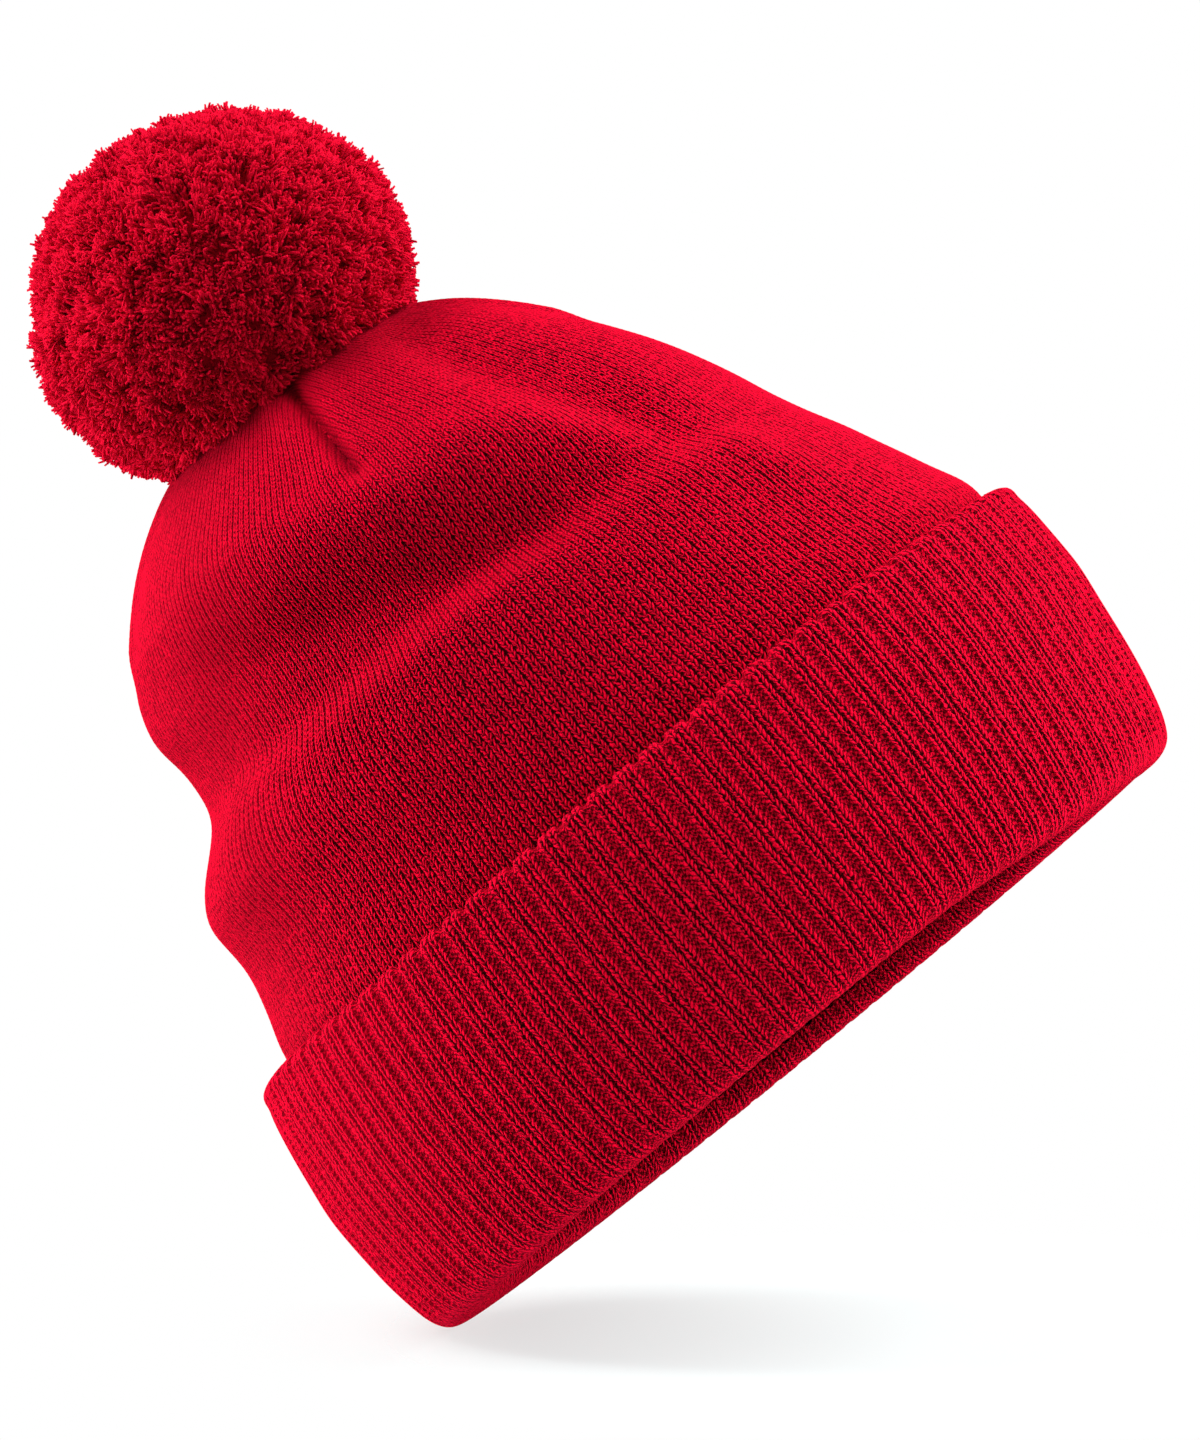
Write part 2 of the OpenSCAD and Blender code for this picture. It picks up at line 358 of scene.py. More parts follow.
def shell(prefix, points, wales, courses, shown, body, nodes, knit):
    """Closed knit shell in four pieces.

    points (rows, 4n, 3) is a closed loop of rows, wales (4, rows, n + 1) and courses
    (rows, n + 1) are knit coordinates, and shown (rows,) weighs each row in the baked map.
    """
    count, columns = points.shape[:2]
    n = columns // 4
    normal = normals(points, True)
    step = np.linalg.norm(np.roll(points, -1, 0) - points, axis=2).mean(1) * shown
    v = np.concatenate([[0], np.cumsum(step)])
    v = 0.004 + 0.985 * v / v[-1]
    u = 0.004 + 0.985 * np.arange(n + 1) / n
    i, j = np.meshgrid(np.arange(count), np.arange(n), indexing="ij")
    i2 = (i + 1) % count
    quads = quad_corners(lambda r, c: r * (n + 1) + c, i, j, i2, j + 1).reshape(-1, 4)
    walls = [np.arange(count) * (n + 1), (np.arange(count) * (n + 1) + n)[::-1]]
    bake_uv = quad_corners(lambda r, c: pair(u[c], v[r]), i, j, i + 1, j + 1).reshape(-1, 2)
    material, slot = knit
    for q in range(4):
        pick = np.arange(q * n, (q + 1) * n + 1) % columns
        verts = points[:, pick].reshape(-1, 3)
        normal_q = normal[:, pick].reshape(-1, 3)
        knit_uv = quad_corners(
            lambda r, c: pair(wales[q][r, c], courses[r, c]), i, j, i2, j + 1).reshape(-1, 2)
        ob = make_mesh(f"{prefix}_{q + 1}", verts, quads, walls,
                       {"knit": knit_uv, "OFBake": bake_uv}, material, normal_q[quads.ravel()])
        place_piece(ob, body, slot, *nodes)


# ---------------------------------------------------------------- node materials
class Val:
    """A value in a node tree, so that formulas can be written as formulas."""

    def __init__(self, nt, sock):
        self.nt, self.sock = nt, sock

    def op(self, kind, *args):
        node = self.nt.nodes.new("ShaderNodeMath")
        node.operation = kind
        for k, arg in enumerate((self, *args)):
            feed(node.inputs[k], arg)
        return Val(self.nt, node.outputs[0])

    def __add__(self, other): return self.op("ADD", other)
    def __sub__(self, other): return self.op("SUBTRACT", other)
    def __rsub__(self, other): return (self * -1.0) + other
    def __mul__(self, other): return self.op("MULTIPLY", other)
    def __truediv__(self, other): return self.op("DIVIDE", other)
    def fract(self): return self.op("FRACT")
    def abs(self): return self.op("ABSOLUTE")
    def sin(self): return self.op("SINE")
    def cos(self): return self.op("COSINE")
    def sqrt(self): return self.op("SQRT")
    def min(self, other): return self.op("MINIMUM", other)
    def max(self, other): return self.op("MAXIMUM", other)
    def less(self, other): return self.op("LESS_THAN", other)

    def ramp(self, start, end, low=0.0, high=1.0, kind="SMOOTHSTEP"):
        """Runs from low to high while the value runs from start to end."""
        node = self.nt.nodes.new("ShaderNodeMapRange")
        node.interpolation_type = kind
        self.nt.links.new(self.sock, node.inputs[0])
        for k, value in enumerate((start, end, low, high), 1):
            node.inputs[k].default_value = value
        return Val(self.nt, node.outputs[0])


def feed(socket, value):
    """Links a Val into the socket, or sets a plain number on it."""
    if isinstance(value, Val):
        value.nt.links.new(value.sock, socket)
    else:
        socket.default_value = value


def new_material(name):
    mat = bpy.data.materials.new(name)
    mat.use_nodes = True
    nt = mat.node_tree
    return mat, nt, nt.nodes["Principled BSDF"]


def object_coords(nt):
    return nt.nodes.new("ShaderNodeTexCoord").outputs["Object"]


def uv_coords(nt, layer):
    node = nt.nodes.new("ShaderNodeUVMap")
    node.uv_map = layer
    return node.outputs[0]


def components(nt, vector):
    node = nt.nodes.new("ShaderNodeSeparateXYZ")
    nt.links.new(vector, node.inputs[0])
    return [Val(nt, out) for out in node.outputs]


def noise(nt, scale, detail=2.0, rough=0.5):
    """Noise in object space; scale is in features per metre."""
    node = nt.nodes.new("ShaderNodeTexNoise")
    node.inputs["Scale"].default_value = scale
    node.inputs["Detail"].default_value = detail
    node.inputs["Roughness"].default_value = rough
    nt.links.new(object_coords(nt), node.inputs["Vector"])
    return Val(nt, node.outputs["Fac"])


def set_colour(nt, shader, fac, dark, light):
    """Base colour between dark and light by fac."""
    node = nt.nodes.new("ShaderNodeMix")
    node.data_type = "RGBA"
    feed(node.inputs["Factor"], fac)
    node.inputs["A"].default_value = (*dark, 1)
    node.inputs["B"].default_value = (*light, 1)
    nt.links.new(node.outputs["Result"], shader.inputs["Base Color"])


def set_bump(nt, shader, height, strength, distance):
    """distance is in metres."""
    node = nt.nodes.new("ShaderNodeBump")
    feed(node.inputs["Strength"], strength)
    node.inputs["Distance"].default_value = distance
    feed(node.inputs["Height"], height)
    nt.links.new(node.outputs[0], shader.inputs["Normal"])


def set_cloth(shader, sheen, sheen_tint, rough=0.92, specular=0.015):
    shader.inputs["Roughness"].default_value = rough
    shader.inputs["Specular IOR Level"].default_value = specular
    shader.inputs["Sheen Weight"].default_value = sheen
    shader.inputs["Sheen Roughness"].default_value = 0.45
    shader.inputs["Sheen Tint"].default_value = (*sheen_tint, 1)


def grain_nodes(side, course, mid, lean, wide, tall):
    """The same grains as in the relief, without their floor of overlap."""
    v = (course - side * SLANT).fract() - 0.5
    other = v - v.op("SIGN")
    out = None
    for vv in (v, other):
        a = (side - mid - vv * lean) / wide
        b = vv / tall
        grain = 1.0 - a * a - b * b
        out = grain if out is None else out.max(grain)
    return out.max(0.0).sqrt()


def plain_pattern(wale, course):
    """Height of plain knit, and its tone with painted shade in the gaps between the yarn."""
    side = (wale.fract() - 0.5).abs()
    height = grain_nodes(side, course, mid=0.215, lean=0.26, wide=0.185, tall=0.66)
    # the tone darkens where the yarn lies low: painted shade in the gaps
    return height, height.ramp(0.27, 0.88)


def rib_pattern(nt, wale, course):
    """Height of the wide rib, and its tone with painted shade in the gaps."""
    x = ((wale / RIB_WALES).fract() * RIB_WALES - 1.5).abs() - RIB_HALF
    cord = grain_nodes(x.abs(), course, mid=0.25, lean=0.22, wide=0.185, tall=0.64)
    purl = x.ramp(0.40, 0.52)
    grain = noise(nt, scale=1500.0, detail=1.0)
    # the purl wale is a net of dots, 2.2 to a wale
    dots = (((x + (grain - 0.5) * 0.16) * (TURN * 2.2)).sin()
            * ((course + (grain - 0.5) * 0.5) * TURN).sin()) * 0.5 + 0.5
    net = dots.ramp(0.22, 0.80) * 0.80 + 0.04
    # strands that cross the deep gap between the two knit wales
    bars = ((course * TURN + grain * 3.0).cos().ramp(-0.1, 0.9)
            * x.ramp(-0.60, -0.36, low=1.0, high=0.0) * (grain * 0.9 + 0.15))
    cord = cord.max(bars)
    height = cord * (1.0 - purl) + net * purl * 0.8
    # the tone: painted shade in the gaps between the yarn of the knit wales and between the purl
    # dots
    gap_shaded_tone = cord.ramp(0.20, 0.86) * (1.0 - purl) + (net * purl)
    return height, gap_shaded_tone


def knit_material(name, kind):
    mat, nt, shader = new_material(name)
    wale, course, _ = components(nt, uv_coords(nt, "knit"))
    # every stitch differs a little: the loops are pulled sideways and along
    wale = wale + (noise(nt, scale=520.0, detail=2.0, rough=0.6) - 0.5) * 0.52
    course = course + (noise(nt, scale=330.0, detail=1.0) - 0.5) * 1.3
    fray = noise(nt, scale=1150.0, detail=1.0)
    wale = wale + (fray - 0.5) * 0.30
    course = course + (fray - 0.5) * 0.8
    fibre = noise(nt, scale=2600.0, detail=2.0, rough=0.6)
    if kind == "plain":
        height, gap_shaded_tone = plain_pattern(wale, course)
    else:
        height, gap_shaded_tone = rib_pattern(nt, wale, course)
    height = height + (fibre - 0.5) * 0.22
    cloud = noise(nt, scale=24.0, detail=3.0)
    # where the cloth turns away from the eye the loops hide their own gaps, and with them the
    # painted shade in the gaps
    layer = nt.nodes.new("ShaderNodeLayerWeight")
    layer.inputs["Blend"].default_value = 0.5
    facing = Val(nt, layer.outputs["Facing"])
    # and the stitches show less towards the upper left; slack is a distance in metres
    x, _, z = components(nt, object_coords(nt))
    slack = x * -1.0 - (z * -1.0 + 0.159) * 0.55
    # away blends the stitches and the painted shade in their gaps into an even tone
    if kind == "plain":
        away = (facing.ramp(0.10, 0.60) * 0.68).max(slack.ramp(0.022, 0.050) * 0.70)
        # the even tone is a little lighter where the cloth turns away from the eye and a little
        # darker towards the upper left
        even = facing.ramp(0.55, 1.0) * 0.07 - slack.ramp(0.022, 0.050) * 0.07 + 0.265
        gap_shaded_tone = gap_shaded_tone * (1.0 - away) + away * even
    else:
        away = (facing.ramp(0.20, 0.80) * 0.44).max(slack.ramp(-0.010, 0.040) * 0.42)
        gap_shaded_tone = gap_shaded_tone * (1.0 - away) + away * 0.33
    fibre_tone = (fibre - 0.5) * (0.5 - away * 0.3) + 1.0
    cloud_tone = (cloud - 0.5) * 0.22 + 1.0
    gain = 1.0
    tone = ((gap_shaded_tone * fibre_tone) * cloud_tone * gain).max(0.0).min(1.0)
    # dark is the painted shade deep in the gaps, light is the yarn's own red
    set_colour(nt, shader, tone, dark=(0.026, 0.00005, 0.0006), light=(0.95, 0.0010, 0.029))
    set_bump(nt, shader, height, strength=1.0 - away * 1.25, distance=0.0010)
    set_cloth(shader, sheen=0.25, sheen_tint=(1.0, 0.012, 0.08))
    return mat


def cord_material(name, light, dark, scale=260.0):
    """Twisted yarn: slanting plies, scale bands to the metre, with fibre noise."""
    mat, nt, shader = new_material(name)
    wave = nt.nodes.new("ShaderNodeTexWave")
    wave.wave_type = "BANDS"
    wave.bands_direction = "DIAGONAL"
    wave.inputs["Scale"].default_value = scale
    wave.inputs["Distortion"].default_value = 1.2
    nt.links.new(object_coords(nt), wave.inputs["Vector"])
    plies = Val(nt, wave.outputs["Fac"])
    fibre = noise(nt, scale=2200.0, detail=2.0)
    height = plies * 0.8 + fibre * 0.3
    # darker where the plies and fibres lie low: painted shade in the grooves between the plies
    set_colour(nt, shader, height.ramp(0.15, 0.9), dark=dark, light=light)
    set_bump(nt, shader, height, strength=0.8, distance=0.0003)
    set_cloth(shader, sheen=0.2, sheen_tint=light)
    return mat


def pile_material(name):
    """Cut yarn: each fibre has painted shade that deepens towards its root (v), and a tone of its
    own (u).
    """
    mat, nt, shader = new_material(name)
    own, along, _ = components(nt, uv_coords(nt, "OFBake"))
    # painted shade towards the roots, where the fibres shadow each other
    painted_root_shade = along.ramp(0.30, 0.95, low=0.16, high=1.0, kind="LINEAR")
    tone = painted_root_shade * (own * 0.45 + 0.62)
    set_colour(nt, shader, tone.min(1.0),
               dark=(0.215, 0.0008, 0.0056), light=(0.62, 0.0024, 0.023))
    ripple = along * 90.0 + own * 40.0
    set_bump(nt, shader, ripple.sin(), strength=0.35, distance=0.0001)
    set_cloth(shader, sheen=0.2, sheen_tint=(1.0, 0.015, 0.09))
    return mat


def ribbon_material(name):
    """Satin ribbon with a fine weave."""
    mat, nt, shader = new_material(name)
    x, _, z = components(nt, object_coords(nt))
    # radians per metre across and along the ribbon
    weave = (x * 9000.0).sin() * (z * 14000.0).sin()
    height = weave * 0.5 + 0.5
    # the weave's low points are a little darker: painted shade
    tone = height * 0.2 + noise(nt, scale=300.0, detail=2.0) * 0.3 + 0.5
    set_colour(nt, shader, tone.min(1.0), dark=(0.62, 0.60, 0.56), light=(0.86, 0.85, 0.82))
    set_bump(nt, shader, height, strength=0.4, distance=0.0001)
    set_cloth(shader, sheen=0.1, sheen_tint=(1, 1, 1), rough=0.55, specular=0.3)
    return mat


# each knit is its material and its slot
PLAIN_KNIT = (knit_material("plain_knit_red", "plain"), "plain_knit")
RIB_KNIT = (knit_material("rib_knit_red", "rib"), "rib_knit")
CORD_MAT = cord_material("tie_cord_red", light=(0.55, 0.005, 0.026), dark=(0.14, 0.001, 0.006))
THREAD_MAT = cord_material(
    "thread_red", light=(0.5, 0.005, 0.024), dark=(0.2, 0.002, 0.01), scale=700.0)
PILE_MAT = pile_material("pom_yarn_red")
RIBBON_MAT = ribbon_material("label_ribbon_white")
WHITE_MAT = cord_material(
    "thread_white", light=(0.8, 0.79, 0.76), dark=(0.5, 0.49, 0.46), scale=900.0)


# ---------------------------------------------------------------- cords
def tube_frames(path):
    """Two directions square to each point of the path, carried along without twist."""
    tangent = unit(np.gradient(path, axis=0))
    ref = np.array([0, 0, 1.0]) if abs(tangent[0][2]) < 0.9 else np.array([1.0, 0, 0])
    side = unit(np.cross(tangent[0], ref))
    frames = []
    for k in range(len(path)):
        side = unit(side - tangent[k] * (side @ tangent[k]))
        frames.append((side, np.cross(tangent[k], side)))
    return frames


def tube(name, paths, radius, sides, mat, plies=0, pitch=4.0):
    """Closed cords along paths of (N, 3) points; plies > 0 twists that many strands."""
    verts, quads, caps, uvs = [], [], [], []
    base = 0
    around = np.arange(sides) / sides * 2 * math.pi
    for number, path in enumerate(paths):
        path = np.asarray(path, float)
        n = len(path)
        steps = np.linalg.norm(np.diff(path, axis=0), axis=1)
        along = np.concatenate([[0], np.cumsum(steps)])
        for k, (side, other) in enumerate(tube_frames(path)):
            end = min(along[k], along[-1] - along[k]) / max(radius, 1e-6)
            ring = radius * math.sqrt(max(1 - (1 - min(end, 1)) ** 2, 0.02))
            if plies:
                twist = plies / 2 * (around - along[k] / pitch * 2 * math.pi)
                ring = ring * (1 + 0.16 * (np.abs(np.cos(twist)) - 0.6))
            else:
                ring = ring * np.ones(sides)
            verts.append(path[k] + np.cos(around)[:, None] * ring[:, None] * side
                         + np.sin(around)[:, None] * ring[:, None] * other)
        i, j = np.meshgrid(np.arange(n - 1), np.arange(sides), indexing="ij")
        j2 = (j + 1) % sides
        quads.append(quad_corners(lambda r, c: base + (r * sides + c), i, j, i + 1, j2)
                     .reshape(-1, 4))
        u = along / along[-1] * 0.97 + 0.01
        v = np.arange(sides + 1) / sides * 0.9 / len(paths) + 0.005
        offset = number / len(paths)
        uvs.append(quad_corners(lambda r, c: pair(u[r], offset + v[c]), i, j, i + 1, j + 1)
                   .reshape(-1, 2))
        caps.append(base + np.arange(sides)[::-1])
        caps.append(base + (n - 1) * sides + np.arange(sides))
        base += n * sides
    return make_mesh(name, np.concatenate(verts), np.concatenate(quads), caps,
                     {"OFBake": np.concatenate(uvs)}, mat)


# ---------------------------------------------------------------- crown
CROWN_N = 6 * QUARTER  # columns in a quarter
CROWN_ANGLES = even_angles(103 * WIDTH_K, 80.9 * DEPTH_K, CROWN_N, 0.6)
# how far the lining's face, and its hidden side, lie in from the crown's outline
LINING_FACE, LINING_BACK = 5.8, 3.9


def face_folds(x, z):
    """Soft folds on one face of the worn crown, as seen from the front."""
    # upper roll that leans over a hollow, on the left
    roll_z = 159.2 - 0.30 * (x + 62.6)
    left = 1 - smooth(22, 50, x)
    left = left * (0.45 + 0.55 * smooth(-80, -25, x))
    out = (2.0 * bell(z - (roll_z + 12), 10.0) - 2.4 * bell(z - (roll_z - 8), 8.5)) * left
    # below it a ledge that stands out over the cuff
    ledge_z = 124.0 - 0.0016 * np.clip(x, 0, None) ** 2
    reach = 1 - 0.75 * smooth(55, 88, x)
    ledge = 3.8 * (1 - smooth(-6.0, 6.0, z - ledge_z))
    tuck = (2.4 + 2.6 * bell(x + 30, 50)) * (1 - smooth(74, 116, z))
    out = out + reach * (ledge - tuck)
    # roll that runs from the dart down to the right
    roll_z = np.where(x < 38, 168.5 - 0.69 * (x - 1), 143 - 1.0 * (x - 38))
    out = out + (2.0 * bell((z - roll_z) * 0.80, 8)
                 * smooth(4, 28, x) * (1 - smooth(72, 90, x)))
    # hollow beside it
    hollow_z = 177.6 - 1.6 * (x - 31)
    return out - (3.7 * bell((z - hollow_z) * 0.53, 7.5)
                  * smooth(16, 36, x) * (1 - smooth(54, 72, x)))


def folds(points):
    """Height of the folds along the surface's normal."""
    x, y, z = points[..., 0], points[..., 1], points[..., 2]
    # folds die out towards the left and right sides
    face = smooth(0.0, 0.55, np.abs(y) / (np.hypot(x, y) + 1e-6))
    front = face_folds(x, z)
    back = face_folds(-0.85 * x - 8, z + 5) * 0.85
    # a broad swelling in the middle of each face
    front = front + 4.0 * bell(x - 4, 46) * bell(z - (154 - 0.24 * x), 15)
    back = back + 3.0 * bell(x + 4, 46) * bell(z - (154 + 0.24 * x), 15)
    out = np.where(y < 0, front, back) * face
    out = out + 0.55 * value_noise(points, 26.0, 3) + 0.22 * value_noise(points, 11.0, 5)
    return out * smooth(63, 70, z) * (1 - 0.85 * smooth(184, 194, z))


def crown_stitches(along, rise, perimeter, dart_at, cap_at, across):
    """Knit coordinates: wales (4, rows, n + 1) run into the darts, courses tilt beside them."""
    spread = 1 - 0.20 * np.minimum(rise, 1) ** 1.1
    cap_spread = 0.80 * (perimeter / np.interp(cap_at, along, perimeter)) ** 0.4
    spread = np.where(along > cap_at, cap_spread, spread)
    wales = np.stack([QUARTER * q + QUARTER / 2 + QUARTER / 2 * spread[:, None] * across
                      for q in range(4)])
    tilt = 1.6 * smooth(dart_at - 4, dart_at + 10, along)[:, None] * np.abs(across) ** 4
    return wales, along[:, None] / COURSE + tilt


def dart_groove(along, rise, perimeter, dart_at, across):
    """Height (rows, n + 1) of a quarter's dart grooves, which lie at both its edges."""
    away = (1 - np.abs(across)) * (perimeter / 8)[:, None]
    deep = smooth(dart_at - 6, dart_at + 5, along)[:, None]
    shallower = 1 - 0.45 * np.minimum(rise, 1)[:, None]
    groove = -4.4 * deep * shallower * np.exp(-(away / 1.9) ** 1.35)
    groove = groove + 1.1 * deep * bell(away - 5.5, 3.6)
    # a pit where the dart starts
    pit = -1.6 * np.exp(-(away / 3.4) ** 2 - ((along[:, None] - dart_at + 2.0) / 3.4) ** 2)
    return (groove + pit) * (1 - smooth(along[-1] - 22, along[-1] - 10, along))[:, None]


def dart_threads(name, node, points, normal, angles, rows, along, lift):
    """Zigzag sewing threads up the four darts, lift off the surface."""
    paths = []
    for q in range(4):
        column = q * len(angles) // 4
        line = points[rows, column] + lift * normal[rows, column]
        side = np.array([-math.sin(angles[column]), math.cos(angles[column]), 0])
        paths.append(line + 0.45 * np.sin(along[rows] / 2.4 * math.pi)[:, None] * side)
    ob = tube(name, paths, radius=0.34, sides=8, mat=THREAD_MAT, plies=2, pitch=1.8)
    place_piece(ob, "hat_body", "sewing_thread", node)


def build_crown():
    along, outline = resample(CROWN, COURSE / 2, CROWN_SMOOTH)
    base = oval_points(outline, CROWN_ANGLES)
    normal = normals(base, False)
    count = len(outline)
    perimeter = np.linalg.norm(np.roll(base, -1, 1) - base, axis=2).sum(1)
    dart_at = np.interp(DART_Z, outline[:, 0], along)
    cap_at = np.interp(CAP_Z, outline[:, 0], along)
    rise = np.clip((along - dart_at) / (cap_at - dart_at), 0, None)
    across = np.linspace(-1, 1, CROWN_N + 1)[None]
    wales, courses = crown_stitches(along, rise, perimeter, dart_at, cap_at, across)
    groove = dart_groove(along, rise, perimeter, dart_at, across)
    groove_round = np.tile(groove[:, :-1], 4)
    fold = folds(base)

    # outer face, its stitches flatter as they crowd towards the top
    below_top = 1 - smooth(along[-1] - 30, along[-1] - 18, along)[:, None]
    crowding = np.minimum(perimeter / np.interp(dart_at, along, perimeter), 1)[:, None]
    height = 0.50 * below_top * crowding ** 1.5
    relief = join_quarters(groove + height * (plain_relief(wales, courses) - 0.55))
    face = base + normal * (relief + fold)[..., None]
    # hidden side, two millimetres in and sparsely sampled
    pick = np.unique(np.append(np.arange(0, count, 14), count - 1))[::-1]
    inner = ((base + normal * fold[..., None])[pick] - 2.0 * normal[pick]
             + normal[pick] * groove_round[pick][..., None] * 0.5)
    shown = np.concatenate([np.ones(count), np.full(len(pick), 0.02)])
    shown[count - 1] = 0.05
    shell("crown_knit", np.concatenate([face, inner]),
          np.concatenate([wales, wales[:, pick]], 1), np.concatenate([courses, courses[pick]]),
          shown, "hat_body", ["crown_outer_layer"], PLAIN_KNIT)
    dart_rows = np.arange(int(np.searchsorted(along, dart_at - 1)),
                          int(np.searchsorted(along, along[-1] - 14)))
    dart_threads("dart_thread_outer", "dart_seams_outer", face, normal, CROWN_ANGLES,
                 dart_rows, along, lift=-0.95)

    # lining: half the columns, its face towards the head
    angles = CROWN_ANGLES[::2]
    lining = oval_points(inward(outline, LINING_FACE), angles)
    normal = normals(lining, False)
    shift = (np.minimum(fold[:, ::2], 1.0)[..., None] * normal
             + normal * np.clip(groove_round[:, ::2] * 0.945, -4.4, 0.0)[..., None])
    face = lining + shift
    dart_threads("dart_thread_lining", "dart_seams_lining", face, normal, angles,
                 dart_rows, along, lift=0.9)
    back = (oval_points(inward(outline, LINING_BACK), angles) + shift)[::12]
    pick = np.concatenate([np.arange(0, count, 2)[::-1], np.arange(0, count, 12)])
    shown = np.concatenate([np.ones(len(pick) - len(back)), np.full(len(back), 0.02)])
    shell("crown_lining_knit", np.concatenate([face[::2][::-1], back]),
          wales[:, pick, ::2], courses[pick, ::2],
          shown, "hat_body", ["crown_lining_layer"], PLAIN_KNIT)


# ---------------------------------------------------------------- cuff and brim
# the rib parts share one set of columns, so that their ribs line up
RIB_N = 8 * QUARTER
RIB_ANGLES = even_angles(110 * WIDTH_K, 84 * DEPTH_K, RIB_N, 1.0)


def rib_coords(courses, step=1):
    """Knit coordinates for rows at the given courses, with every step-th column."""
    wale = QUARTER * np.arange(RIB_N + 1) / RIB_N
    wales = np.stack([np.tile((QUARTER * q + wale)[::step], (len(courses), 1))
                      for q in range(4)])
    return wales, np.repeat(courses[:, None], RIB_N // step + 1, 1)


def rib_height(wales, courses, height):
    return join_quarters(height * (rib_relief(wales, courses) - 0.85))


def rounded(shown_rows, hidden_rows, reach):
    """Closed loop of rows with a half-round end between the two sides."""
    def end_row(row_a, row_b, behind):
        middle = (row_a + row_b) / 2
        d = middle - behind
        outward = (d[1] + d[2]) / 2
        size = math.hypot(d[0], outward)
        out = middle.copy()
        out[0] += reach * d[0] / size
        for i in (1, 2, 3):
            out[i] += reach * outward / size
        return out

    end = end_row(shown_rows[-1], hidden_rows[0], (shown_rows[-2] + hidden_rows[1]) / 2)
    start = end_row(hidden_rows[-1], shown_rows[0], (hidden_rows[-2] + shown_rows[1]) / 2)
    return np.concatenate([shown_rows, end[None], hidden_rows, start[None]])


def blur_columns(values, n):
    """Running mean round the band."""
    return sum(np.roll(values, k, 1) for k in range(-n, n + 1)) / (2 * n + 1)


def settle(points):
    """Lets the edge of the opening hang a little lower at the front right."""
    points = points.copy()
    x, y, z = points[..., 0], points[..., 1], points[..., 2]
    points[..., 2] -= 2.2 * smooth(38, 80, x) * smooth(4, -24, y) * (1 - smooth(0, 32, z))
    return points


def build_cuff():
    along, outline = resample(CUFF, COURSE / 2, 1.4)
    count = len(outline)
    course = along / COURSE
    pick = np.arange(6, count - 3, 5)[::-1]
    loop = rounded(outline, inward(outline, 5.1)[pick], 1.2)
    course = np.concatenate([course, [course[-1] + 1], course[pick] + 60, [course[0] - 1]])
    z = loop[:, 0]
    base = oval_points(loop, RIB_ANGLES)
    wales, courses = rib_coords(course)
    relief = rib_height(wales, courses, 1.15)
    # flatter on the hidden side and at the lower edge
    relief[count + 1:] = relief[count + 1:] * 0.6 - 0.1
    relief = relief * (1 - 0.76 * (1 - smooth(1.5, 7, z))[:, None])
    # a bead just below the upper edge
    relief[:count] += 0.9 * bell(z[:count] - 68.4, 1.5)[:, None]
    swell = 0.5 * value_noise(base, 34.0, 11) * smooth(3, 20, z)[:, None]
    points = base + normals(base, True) * (relief + swell)[..., None]
    # the upper edge rises over the knit wales
    knob = join_quarters(smooth(0.60, 0.86, rib_relief(wales, courses)))
    crest = smooth(67.0, 69.8, z)[:, None]
    points[..., 2] += crest * (0.75 * blur_columns(knob, 3) - 0.3)
    # flat where it rests
    points[..., 2] = np.maximum(points[..., 2], 0.0)
    # the band leans a little round the hat, as knit does
    lean = 0.010 * np.sin(z / 70 * math.pi - 0.6)[:, None] * np.sin(2 * RIB_ANGLES + 0.7)[None]
    cos, sin = np.cos(lean), np.sin(lean)
    points = np.stack([points[..., 0] * cos - points[..., 1] * sin,
                       points[..., 0] * sin + points[..., 1] * cos, points[..., 2]], -1)
    shown = np.concatenate([np.ones(count), [1.0], np.full(len(pick), 0.25), [0.2]])
    shell("cuff_rib", settle(points), wales, courses, shown, "cuff",
          ["cuff_face_band", "cuff_back_band", "cuff_edge_seam"], RIB_KNIT)


def build_band(prefix, node, face, back, course, sink):
    """Rib band with a knit face, sunk by sink, and a smooth sparse back."""
    step = 2
    count = len(face)
    wales, courses = rib_coords(course, step)
    base = oval_points(np.concatenate([face, back]), RIB_ANGLES[::step])
    relief = rib_height(wales, courses, 1.0) - sink
    relief[count:] = 0
    points = base + normals(base, True) * relief[..., None]
    shown = np.concatenate([np.ones(count), np.full(len(back), 0.02)])
    shell(prefix, settle(points), wales, courses, shown, "hat_body", [node], RIB_KNIT)


def build_bands():
    along, outline = resample(BRIM, COURSE)
    course = along / COURSE
    # outer band, seen when the cuff is rolled down
    build_band("brim_outer_rib", "brim_outer_band", outline, inward(outline, 2.2)[::8][::-1],
               np.concatenate([course, course[::8][::-1]]), sink=0.15)
    # lining band, its face towards the head
    build_band("brim_lining_rib", "brim_lining_band", inward(outline, 4.7)[::-1],
               inward(outline, 2.5)[::8], np.concatenate([course[::-1], course[::8]]), sink=0.1)


# ---------------------------------------------------------------- pom pom
YARNS, CLUMPS, FIBRES = 9800, 1250, 6  # fibres are those of one yarn
BINS, SKIRT_BINS = 9, 4  # pieces round the pom pom, and of the lowest yarns
SKIRT_Z = 208  # tips below this lie on the crown
SIDES = 3  # of a fibre
# how far each ring of a fibre lies back from its tip, and how much it has spread by then
FIBRE_RINGS = ((8.5, 0.0), (4.4, 0.08), (2.4, 0.32), (0.9, 0.68), (0.0, 1.0))
# RING_ALONG also sets how deep each ring lies in the pile's painted root shade
RING_ALONG = np.array([0.0, 0.45, 0.72, 0.9, 1.0])  # place in the baked map
RING_RADIUS = np.array([0.26, 0.34, 0.37, 0.37, 0.28])
CROWN_ROWS = resample(CROWN, 0.5, CROWN_SMOOTH)[1]


